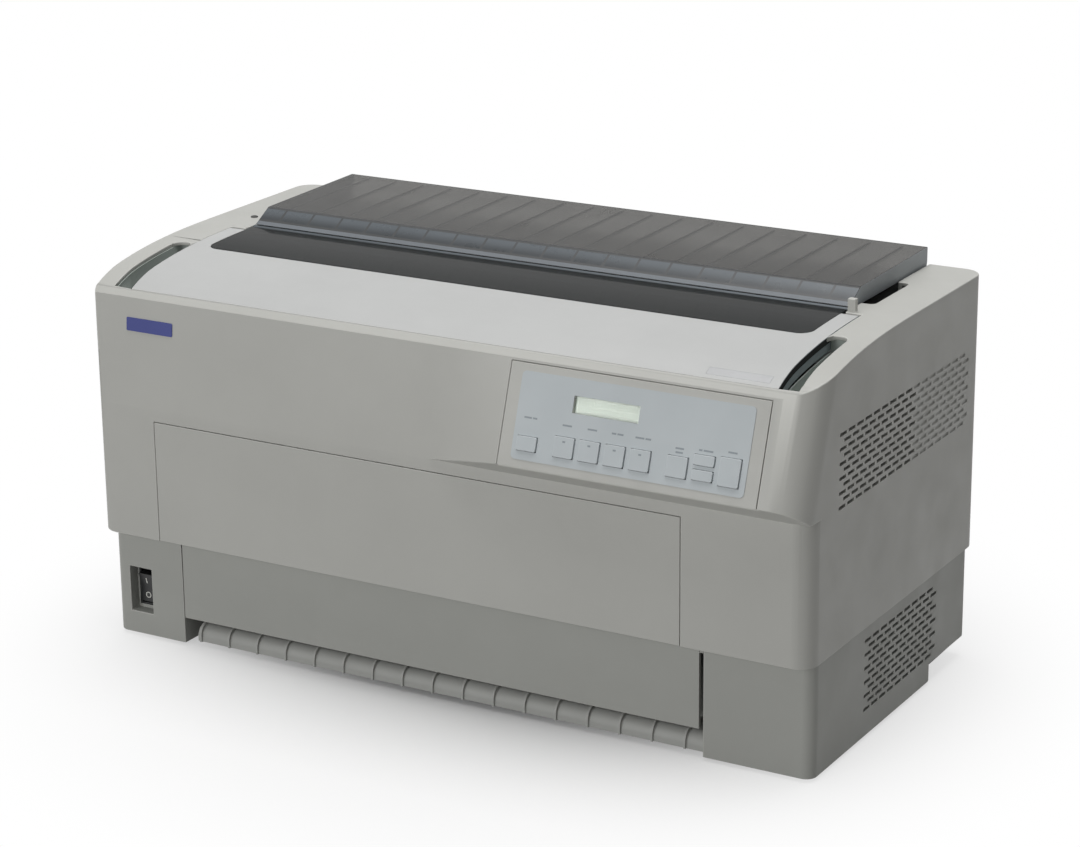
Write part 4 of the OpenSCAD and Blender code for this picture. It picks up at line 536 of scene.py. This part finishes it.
window_smoke = clear_finish("window_smoke", seen_as(60, 65, 65), 0.08, 0.06, 0.8, 1.12)
piece(rounded("cover_window", 0.0004), "window_pane", "top_cover", "cover_window", window_smoke)

# Nameplate
# A blank strip of satin aluminium is set into the front edge of the top cover.
plate_metal = finish_of("plate_metal", seen_as(168, 169, 170), 0.4, metal=0.15, grain=0.00001,
                        grain_size=0.002, stretch=(1, 30, 30))
work = whole_faces("nameplate")
fall_to_the_brow(work)
soften(work, 0.00015, 2)
piece(work, "blank_nameplate", "top_cover", "nameplate", plate_metal)

# Tear bar
# A steel bar with a ground edge lies across the paper exit, for tearing the form off.
tear_steel = finish_of("tear_steel", seen_as(92, 97, 101), 0.5, metal=0.3, grain=0.00001,
                       grain_size=0.003, gloss=0.15, stretch=(1, 40, 40))
piece(rounded("tear_bar", 0.0003), "tear_off_bar", "case", "tear_bar", tear_steel)

# Exit guide
# The form leaves over a pale moulded chute with a rib every thirty millimetres. Both ends,
# beyond the last ribs, are painted black as painted shade under the cover.
chute_grey = finish_of("chute_grey", seen_as(186, 186, 182), 0.55)
exit_chute = piece(rounded("exit_guide", 0.0003, 1), "exit_chute", "case", "exit_guide", chute_grey)
last_rib = 0.2752
# painted shade: the ends of the chute, under the cover, are painted black
finish_where(exit_chute, painted_shade_black, lambda c: abs(c.x) > last_rib)

# Paper cover
# The low cover over the paper exit is smoke plastic with a satin skin. Its lip slopes down to
# the front and has a rib at every joint, and it tilts up on two ears at the rear.
def paint_light_up_the_lip(finish, low, high, dark, light):
    """Paints light into the finish: painted shade at the height low, running to a painted highlight at the
    height high
    """
    nodes, links = finish.node_tree.nodes, finish.node_tree.links
    shader = nodes["Principled BSDF"]
    height = nodes.new("ShaderNodeSeparateXYZ")
    links.new(nodes["Texture Coordinate"].outputs["Object"], height.inputs[0])
    rise = nodes.new("ShaderNodeMapRange")
    rise.interpolation_type = "SMOOTHSTEP"
    rise.inputs["From Min"].default_value = low
    rise.inputs["From Max"].default_value = high
    links.new(height.outputs["Z"], rise.inputs["Value"])
    tint = nodes.new("ShaderNodeMix")
    tint.data_type = "RGBA"
    tint.inputs["A"].default_value = (*dark, 1)
    tint.inputs["B"].default_value = (*light, 1)
    links.new(rise.outputs[0], tint.inputs["Factor"])
    cloud = nodes.new("ShaderNodeMix")
    cloud.data_type = "RGBA"
    cloud.blend_type = "MULTIPLY"
    cloud.inputs["Factor"].default_value = 0.5
    links.new(tint.outputs["Result"], cloud.inputs["A"])
    links.new(nodes["Color Ramp"].outputs["Color"], cloud.inputs["B"])
    links.new(cloud.outputs["Result"], shader.inputs["Base Color"])


hood_side = 0.2965
fold_low, fold_high, upper_fold_z = 0.3525, 0.3538, 0.3608
lip_rib_pitch, lip_rib_half = 0.0305, 0.0011


def on_the_slope(place):
    """The outer face of the lip, between the two ends of the cover"""
    height = 0.35 + (place.y - 0.021) * 12 / 21
    return abs(place.x) < hood_side - 0.001 and 0.0195 < place.y < 0.0435 and abs(place.z - height) < 0.0012


def under_the_hood(place):
    """The ribs, which stand below the skin of the cover"""
    bend_y = 0.0435
    if place.y < bend_y:
        skin = 0.3494 + (place.y - 0.024) * 0.0101 / 0.0195
    else:
        skin = 0.3595 + (place.y - bend_y) * 0.0018 / 0.1375
    return abs(place.x) < 0.29 and place.z < skin - 0.0004


def on_a_lip_rib(place):
    """The narrow joints between the fields of the lip"""
    return abs(place.x - lip_rib_pitch * round(place.x / lip_rib_pitch)) < lip_rib_half


hood_smoke = clear_finish("hood_smoke", seen_as(95, 94, 91), 0.22, 0.2, 0.75, 1.15)
rib_and_fold_dark = finish_of("rib_and_fold_dark", seen_as(44, 46, 47), 0.4, mottle=0.05)
lip_smoke_painted_light = finish_of("lip_smoke_painted_light", (0.95, 0.95, 0.95), 0.3, mottle=0.05, grain=0.00001, gloss=0.3)
# the slope of the lip gets painted shade at its foot and a painted highlight towards its top
paint_light_up_the_lip(lip_smoke_painted_light, 0.3535, 0.3598, seen_as(54, 58, 61), seen_as(90, 96, 101))
lip_edge = finish_of("lip_edge", seen_as(112, 117, 122), 0.45, mottle=0.05, grain=0.00001, gloss=0.3)
work = whole_faces("paper_cover")
soften(work, 0.0005, 2)
# the lip is cut into bands: a pale tearing edge, a thin dark band, the slope with its ribs and a thin dark
# band at the upper fold
cuts = [((0, 0, height), (0, 0, 1)) for height in (fold_low, fold_high, upper_fold_z)]
cuts += [((lip_rib_pitch * number + half, 0, 0), (1, 0, 0)) for number in range(-9, 10)
         for half in (-lip_rib_half, lip_rib_half)]
for point, way in cuts:
    cut_faces(work, lambda face: on_the_slope(face.calc_center_median()), point, way)
paper_cover = piece(work, "smoke_paper_cover", "paper_cover", "paper_cover", hood_smoke)
finish_where(paper_cover, rib_and_fold_dark, under_the_hood)
finish_where(paper_cover, lip_smoke_painted_light, lambda c: on_the_slope(c) and fold_high < c.z < upper_fold_z)
finish_where(paper_cover, lip_edge, lambda c: on_the_slope(c) and c.z < fold_low)
finish_where(paper_cover, rib_and_fold_dark, lambda c: on_the_slope(c) and (
    c.z > upper_fold_z or fold_low < c.z < fold_high or c.z > fold_high and on_a_lip_rib(c)))
# both ends are painted paler than the clear top: painted light, for the light that comes through them
ends_painted_light = finish_of("ends_painted_light", seen_as(160, 165, 168), 0.45, mottle=0.04, grain=0.00001, gloss=0.3)
finish_where(paper_cover, ends_painted_light, lambda c: abs(abs(c.x) - hood_side) < 0.0001)

# Badge plate
# A small enamelled plate is stuck on the left of the leaning front. It is left blank.
badge_blue = finish_of("badge_blue", seen_as(56, 66, 138), 0.35, mottle=0.06, grain=0.00001)
piece(rounded("badge_plate", 0.00025), "blank_badge", "case", "badge_plate", badge_blue)

# Control panel
# The panel is a separate moulding, let into the swollen corner with a narrow groove round it. A
# frame inside the shell backs it.
piece(rounded("control_panel", 0.0004), "control_panel_moulding", "case", "control_panel", case_grey)

# Label sheet
# A printed film with round corners covers the middle of the panel, cut out for the display and
# the keys.
label_film = finish_of("label_film", seen_as(184, 191, 194), 0.45, mottle=0.02, grain=0.00002)
piece(whole_faces("control_label"), "label_sheet", "case", "control_label", label_film)

# Printed marks
# Short grey bars are screen-printed on the film above the keys and on four of the keys.
def flat_shape(rings, thickness, place, name, body, finish):
    """A thin printed or stuck-on shape: each ring of points is filled, then given a thickness"""
    work = bmesh.new()
    for ring in rings:
        corners = [work.verts.new((x, y, 0)) for x, y in ring]
        work.faces.new(corners)
    made = bmesh.ops.extrude_face_region(work, geom=list(work.faces))
    bmesh.ops.translate(
        work, vec=(0, 0, thickness), verts=[g for g in made["geom"] if isinstance(g, bmesh.types.BMVert)]
    )
    work.transform(place)
    return piece(work, name, body, None, finish)


def bars(*lengths):
    """Bars side by side with small gaps, centred on the origin; all in millimetres"""
    gap, height = 1.0, 0.75
    start = -(sum(lengths) + gap * (len(lengths) - 1)) / 2
    rings = []
    for length in lengths:
        rings.append([(x / 1000, y / 1000) for x, y in (
            (start, -height), (start + length, -height), (start + length, height), (start, height))])
        start += length + gap
    return rings


def face_height(node):
    """How far the node stands out of the panel's plane"""
    return max((face_of_panel.inverted() @ corner.co).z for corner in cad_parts[node].data.vertices)


panel_foot, panel_lean = (0, -0.181, 0.239), radians(18.643)
face_of_panel = Matrix.Translation(panel_foot) @ Matrix.Rotation(pi / 2 - panel_lean, 4, "X")
print_height, ink = 0.0005, 0.00004
mark_grey = finish_of("mark_grey", seen_as(140, 148, 153), 0.5, mottle=0.02, grain=0.00002)
# each mark: its middle on the panel, to the right and up, and the lengths of its bars, in millimetres
for number, (x, up, lengths) in enumerate((
    (103.25, 41.5, (7, 4)), (137.25, 40, (8.5,)), (160.25, 40, (8.5,)), (183.25, 40, (4, 5.5)),
    (206.25, 40, (8, 5)), (239.25, 37, (7.5,)), (239.25, 33.8, (6.5,)), (262.25, 38.5, (3, 8.5)),
    (285.25, 40.5, (8,)),
)):
    on_label = face_of_panel @ Matrix.Translation((x / 1000, up / 1000, print_height))
    flat_shape(bars(*lengths), ink, on_label, f"label_mark_{number + 1}", "case", mark_grey)
key_mark_up = 0.0268
for number, x in ((2, 0.13725), (3, 0.16025), (4, 0.18325), (5, 0.20625)):
    key = f"panel_key_{number}"
    on_key = face_of_panel @ Matrix.Translation((x, key_mark_up, face_height(key)))
    flat_shape(bars(2.6), ink, on_key, f"key_mark_{number}", key, mark_grey)

# Display
# A liquid crystal module sits behind a clear pane. Its unlit cells show as a faint grid on
# pale green.
lcd_clear = clear_finish("lcd_clear", seen_as(252, 254, 251), 0.05, 0.3, 1.0)
piece(whole_faces("lcd_window"), "display_pane", "case", "lcd_window", lcd_clear)
lcd_green = finish_of("lcd_green", seen_as(213, 222, 213), 0.4, mottle=0.02)
piece(whole_faces("lcd_module"), "display_module", "case", "lcd_module", lcd_green)
cell_green = finish_of("cell_green", seen_as(206, 216, 205), 0.4, mottle=0.02)
cell_w, cell_h, cell_pitch, row_pitch, cells_in_row = 0.0022, 0.0044, 0.0029, 0.0056, 19
cells = [
    [(x + dx * cell_w / 2, y + dy * cell_h / 2) for dx, dy in ((-1, -1), (1, -1), (1, 1), (-1, 1))]
    for x in (cell_pitch * (number - (cells_in_row - 1) / 2) for number in range(cells_in_row))
    for y in (-row_pitch / 2, row_pitch / 2)
]
on_display = face_of_panel @ Matrix.Translation((0.16975, 0.0578, face_height("lcd_module")))
flat_shape(cells, 0.00003, on_display, "display_cells", "case", cell_green)
board_green = finish_of("board_green", seen_as(38, 104, 62), 0.35, mottle=0.12)
piece(whole_faces("control_board"), "control_circuit_board", "case", "control_board", board_green)

# Keys
# Nine keys stand through the label. Each is moulded with a stem that presses a switch on the
# board, and is a little lighter than the label.
key_grey = finish_of("key_grey", seen_as(186, 193, 196), 0.45, worn=seen_as(214, 218, 220))
for number in range(1, 10):
    node = f"panel_key_{number}"
    piece(rounded(node, 0.0005, 3), f"key_cap_{number}", node, node, key_grey)

# Power switch
# The rocker tips on a pin in its own black housing, in a pocket at the left of the tray.
switch_black = finish_of("switch_black", seen_as(34, 35, 36), 0.28, mottle=0.1)
piece(rounded("power_switch_body", 0.0003), "switch_housing", "case", "power_switch_body", switch_black)
piece(rounded("power_rocker", 0.0005, 3), "switch_rocker", "power_rocker", "power_rocker", switch_black)

# Marks on the rocker
# The two faces of the rocker carry the usual bar and ring, printed in white.
def round_ring(outer, inner, steps=24):
    """A ring cut into quads, as lists of four points"""
    turns = [2 * pi * step / steps for step in range(steps + 1)]
    return [
        [(inner * cos(a), inner * sin(a)), (outer * cos(a), outer * sin(a)),
         (outer * cos(b), outer * sin(b)), (inner * cos(b), inner * sin(b))]
        for a, b in zip(turns, turns[1:])
    ]


mark_white = finish_of("mark_white", seen_as(222, 222, 216), 0.5)
rocker_pin, rocker_rest, rocker_slope = (-0.319, -0.1296, 0.04525), radians(8), atan2(1.8, 14.1)
rocker_place = Matrix.Translation(rocker_pin) @ Matrix.Rotation(rocker_rest, 4, "X")
upper_face, lower_face = (
    rocker_place @ Matrix.Translation((0, -0.00696, way * 0.0072))
    @ Matrix.Rotation(pi / 2 + way * rocker_slope, 4, "X") for way in (1, -1)
)
bar_w, bar_h, paint = 0.0005, 0.0028, 0.00006
flat_shape([[(-bar_w, -bar_h), (bar_w, -bar_h), (bar_w, bar_h), (-bar_w, bar_h)]], paint, upper_face,
           "rocker_bar_mark", "power_rocker", mark_white)
flat_shape(round_ring(0.0029, 0.002), paint, lower_face, "rocker_ring_mark", "power_rocker", mark_white)

# Rear panel
# A zinc-plated steel plate closes the rear of the tray. It is stamped with the cut-outs of the
# inlet and the connectors and a row of air slots.
zinc_plate = finish_of("zinc_plate", seen_as(172, 175, 178), 0.5, metal=0.75, mottle=0.06, grain=0.00001)
piece(rounded("rear_panel", 0.0002, 1), "rear_plate", "case", "rear_panel", zinc_plate)

# Screws
# Cross-head screws hold the rear plate and the lid of the power supply. Each has a domed head
# with a cross pressed into it.
def screw_head(name, place, radius, body, finish):
    """A domed head with a cross recess, standing on local Z"""
    work = bmesh.new()
    arm, half = radius * 0.56, radius * 0.13
    outline = [
        Matrix.Rotation(quarter * pi / 2, 2) @ Vector(point)
        for quarter in range(4) for point in ((arm, -half), (arm, half), (half, half))
    ]
    rings = [
        [work.verts.new((share * radius * cos(pi * i / 12), share * radius * sin(pi * i / 12), up * radius))
         for i in range(24)] for share, up in ((1, 0), (0.93, 0.3), (0.66, 0.46))
    ]
    cross = [work.verts.new((v.x, v.y, radius * 0.5)) for v in outline]
    well = [work.verts.new((v.x * 0.9, v.y * 0.9, radius * 0.12)) for v in outline]
    for low, high in zip(rings, rings[1:]):
        for i in range(24):
            work.faces.new((low[i], low[(i + 1) % 24], high[(i + 1) % 24], high[i]))
    rim, dome = rings[0], rings[-1]
    edge_of_dome = [work.edges.get((dome[i - 1], dome[i])) for i in range(24)]
    edge_of_cross = [work.edges.new((cross[i - 1], cross[i])) for i in range(12)]
    bmesh.ops.bridge_loops(work, edges=edge_of_dome + edge_of_cross)
    for i in range(12):
        work.faces.new((cross[i], cross[(i + 1) % 12], well[(i + 1) % 12], well[i]))
    work.faces.new(well)
    work.faces.new(rim)
    work.transform(place)
    return piece(work, name, body, None, finish)


screw_steel = finish_of("screw_steel", seen_as(178, 180, 178), 0.3, metal=1.0)
to_rear = Matrix.Rotation(-pi / 2, 4, "X")
head_r, rear_y, supply_top = 0.003, 0.1685, 0.074
for number, (x, z) in enumerate(((-0.326, 0.034), (0.326, 0.034), (-0.326, 0.092), (0.326, 0.092))):
    screw_head(f"rear_plate_screw_{number + 1}", Matrix.Translation((x, rear_y, z)) @ to_rear, head_r,
               "case", screw_steel)
for number, (x, y) in enumerate(((-0.27, -0.07), (-0.096, -0.07), (-0.27, 0.104), (-0.096, 0.104))):
    screw_head(f"supply_screw_{number + 1}", Matrix.Translation((x, y, supply_top)), head_r,
               "case", screw_steel)

# Mains inlet and connectors
# The inlet is a black moulding with three brass pins. The two interface connectors are plated
# shells round a dark insulating tongue.
inlet_black = finish_of("inlet_black", seen_as(40, 41, 43), 0.45)
pin_brass = finish_of("pin_brass", seen_as(205, 180, 120), 0.3, metal=1.0)
inlet = piece(rounded("mains_inlet", 0.0003), "mains_inlet_body", "case", "mains_inlet", inlet_black)
plug_x, plug_z = -0.285, 0.064
pins = [(plug_x + x, plug_z + z) for x, z in ((-0.007, -0.0015), (0, 0.003), (0.007, -0.0015))]
finish_where(inlet, pin_brass, lambda c: 0.1489 < c.y < 0.1666 and any(
    abs(c.x - x) < 0.00101 and abs(c.z - z) < 0.00201 for x, z in pins))
tongue_dark = finish_of("tongue_dark", seen_as(52, 56, 62), 0.5)
ports = piece(rounded("interface_connectors", 0.0003), "interface_ports", "case", "interface_connectors",
              zinc_plate)
tongues = ((0.197, 0.0231), (0.279, 0.0146))
finish_where(ports, tongue_dark, lambda c: abs(c.z - plug_z) < 0.0013 and 0.163 < c.y < 0.1745 and any(
    abs(c.x - x) < half for x, half in tongues))

# Chassis and side frames
# The mechanism stands between two stamped side frames. Their foot flanges stand on a chassis
# plate with folded edges and three openings. All three are zinc-plated sheet steel.
for node, name in (
    ("base_chassis", "chassis_plate"),
    ("left_side_frame", "left_frame_plate"),
    ("right_side_frame", "right_frame_plate"),
):
    piece(rounded(node, 0.0003), name, "case", node, zinc_plate)

# Carriage rails
# Two ground steel bars carry the carriage. They are oiled, so they are the glossiest metal here.
rail_steel = finish_of("rail_steel", seen_as(206, 208, 210), 0.16, 0.05, metal=1.0, grain=0.000003,
                       grain_size=0.002, stretch=(1, 50, 50))
piece(rounded("carriage_rails", 0.0005), "ground_rails", "case", "carriage_rails", rail_steel)

# Carriage and print head
# The carriage is black glass-filled plastic and runs on the rails with two moulded sleeves. The
# wire head on it is cast aluminium with cooling fins and a narrow steel nose.
carriage_black = finish_of("carriage_black", seen_as(58, 60, 63), 0.55, worn=seen_as(96, 98, 100))
piece(rounded("carriage", 0.0006), "carriage_moulding", "carriage", "carriage", carriage_black)
head_cast = finish_of("head_cast", seen_as(104, 107, 111), 0.42, metal=0.8, grain=0.00004,
                      worn=seen_as(170, 172, 176))
nose_steel = finish_of("nose_steel", seen_as(190, 192, 196), 0.25, metal=1.0)
head = piece(rounded("print_head", 0.0004), "wire_head", "carriage", "print_head", head_cast)
finish_where(head, nose_steel, lambda c: c.y > -0.0346 and abs(c.x + 0.01325) < 0.0073)

# Ribbon cartridge
# The flat cartridge is glossy black plastic. Between the tips of its arms runs the inked ribbon,
# a woven nylon band.
ribbon_black = finish_of("ribbon_black", seen_as(42, 43, 46), 0.3, worn=seen_as(80, 82, 86))
ribbon_cloth = finish_of("ribbon_cloth", seen_as(26, 25, 34), 0.9, grain=0.00005, grain_size=0.0003,
                         stretch=(1, 1, 3))
cartridge = piece(rounded("ribbon_cartridge", 0.0007, 3), "ribbon_case", "case", "ribbon_cartridge",
                  ribbon_black)
finish_where(cartridge, ribbon_cloth, lambda c: abs(c.z - 0.283) < 0.0066 and abs(c.x + 0.01325) < 0.2415
             and c.y > -0.021)
knob_blue = finish_of("knob_blue", seen_as(58, 92, 150), 0.42, worn=seen_as(110, 138, 180))
piece(rounded("ribbon_knob", 0.0004), "ribbon_winding_knob", "ribbon_knob", "ribbon_knob", knob_blue)

# Carriage drive
# A rubber belt, drawn without teeth, runs round two steel pulleys. The motor's can is painted
# black under a plain steel flange.
belt_rubber = finish_of("belt_rubber", seen_as(40, 40, 42), 0.8, grain=0.0001, grain_size=0.0012,
                        stretch=(1, 0.1, 0.1))
piece(whole_faces("drive_belt"), "carriage_belt", "case", "drive_belt", belt_rubber)
pulley_steel = finish_of("pulley_steel", seen_as(190, 190, 188), 0.3, metal=1.0)
for node, name in (("drive_pulley", "motor_pulley"), ("idler_pulley", "idle_pulley")):
    piece(rounded(node, 0.0002, 1), name, node, node, pulley_steel)
motor_paint = finish_of("motor_paint", seen_as(56, 57, 60), 0.4, grain=0.00003)
motor = piece(rounded("carriage_motor", 0.0005), "carriage_motor_can", "case", "carriage_motor",
              motor_paint)
finish_where(motor, zinc_plate, lambda c: c.z > 0.2371)

# Platen
# The platen is a rubber-covered roller, ground round and slightly dull, on a steel shaft.
platen_rubber = finish_of("platen_rubber", seen_as(50, 50, 52), 0.62, grain=0.00002, grain_size=0.0008,
                          stretch=(1, 8, 8))
platen = piece(rounded("platen_roller", 0.0006), "platen", "platen", "platen_roller", platen_rubber)
finish_where(platen, rail_steel, lambda c: hypot(c.y - 0.004, c.z - 0.283) < 0.0065 and (
    c.x < -0.2434 or c.x > 0.2169))

# Feed gears and motor
# The two large gears are moulded in white acetal. The pinion between them is brass and sits on
# the end of the feed motor's shaft.
acetal = finish_of("acetal", seen_as(226, 223, 214), 0.45, grain=0.00001)
gear_brass = finish_of("gear_brass", seen_as(214, 186, 122), 0.28, metal=1.0)
for node, name, body, finish in (
    ("platen_gear", "platen_gear_wheel", "platen", acetal),
    ("tractor_gear", "tractor_gear_wheel", "tractor_shaft", acetal),
    ("feed_pinion", "motor_pinion", "feed_pinion", gear_brass),
):
    piece(whole_faces(node), name, body, node, finish)
motor = piece(rounded("feed_motor", 0.0005), "feed_motor_can", "case", "feed_motor", motor_paint)
finish_where(motor, zinc_plate, lambda c: c.x < -0.2969)

# Tractors
# Two sliding tractors carry the form by its edge holes. Each is a black housing with a row of
# feed pins and a hinged flap, on a square drive shaft and a round guide rod.
for node, name, body in (
    ("tractor_shaft", "square_drive_shaft", "tractor_shaft"),
    ("tractor_guide_rod", "tractor_rod", "case"),
):
    piece(rounded(node, 0.0003), name, body, node, rail_steel)
tractor_black = finish_of("tractor_black", seen_as(62, 64, 68), 0.5, worn=seen_as(98, 100, 104))
flap_grey = finish_of("flap_grey", seen_as(96, 99, 104), 0.42, worn=seen_as(132, 135, 140))
for side in ("left", "right"):
    tractor, flap = f"{side}_tractor", f"{side}_tractor_flap"
    piece(rounded(tractor, 0.0004), f"{side}_tractor_housing", tractor, tractor, tractor_black)
    piece(rounded(flap, 0.0003), f"{side}_tractor_lid", flap, flap, flap_grey)

# Fan
# A small axial fan blows out through the open slots in the right side. Frame and rotor are black.
fan_black = finish_of("fan_black", seen_as(44, 45, 47), 0.5)
piece(rounded("fan_frame", 0.0004), "fan_housing", "case", "fan_frame", fan_black)
piece(rounded("fan_rotor", 0.0003, 1), "fan_wheel", "fan_rotor", "fan_rotor", fan_black)

# Main board
# The green main board stands on four posts on the chassis. It carries chips, capacitors and a
# finned heat sink.
chip_black = finish_of("chip_black", seen_as(38, 39, 41), 0.5)
sink_metal = finish_of("sink_metal", seen_as(150, 153, 158), 0.4, metal=0.9)
board = piece(rounded("main_board", 0.0003, 1), "main_circuit_board", "case", "main_board", board_green)
finish_where(board, chip_black, lambda c: c.z > 0.0388)
finish_where(board, sink_metal, lambda c: c.z > 0.0388 and c.x > 0.155 and c.y < -0.04)

# Power supply
# The power supply is a closed box of plated sheet with rows of shallow air slots in its lid.
piece(rounded("power_supply", 0.0005), "power_supply_box", "case", "power_supply", zinc_plate)
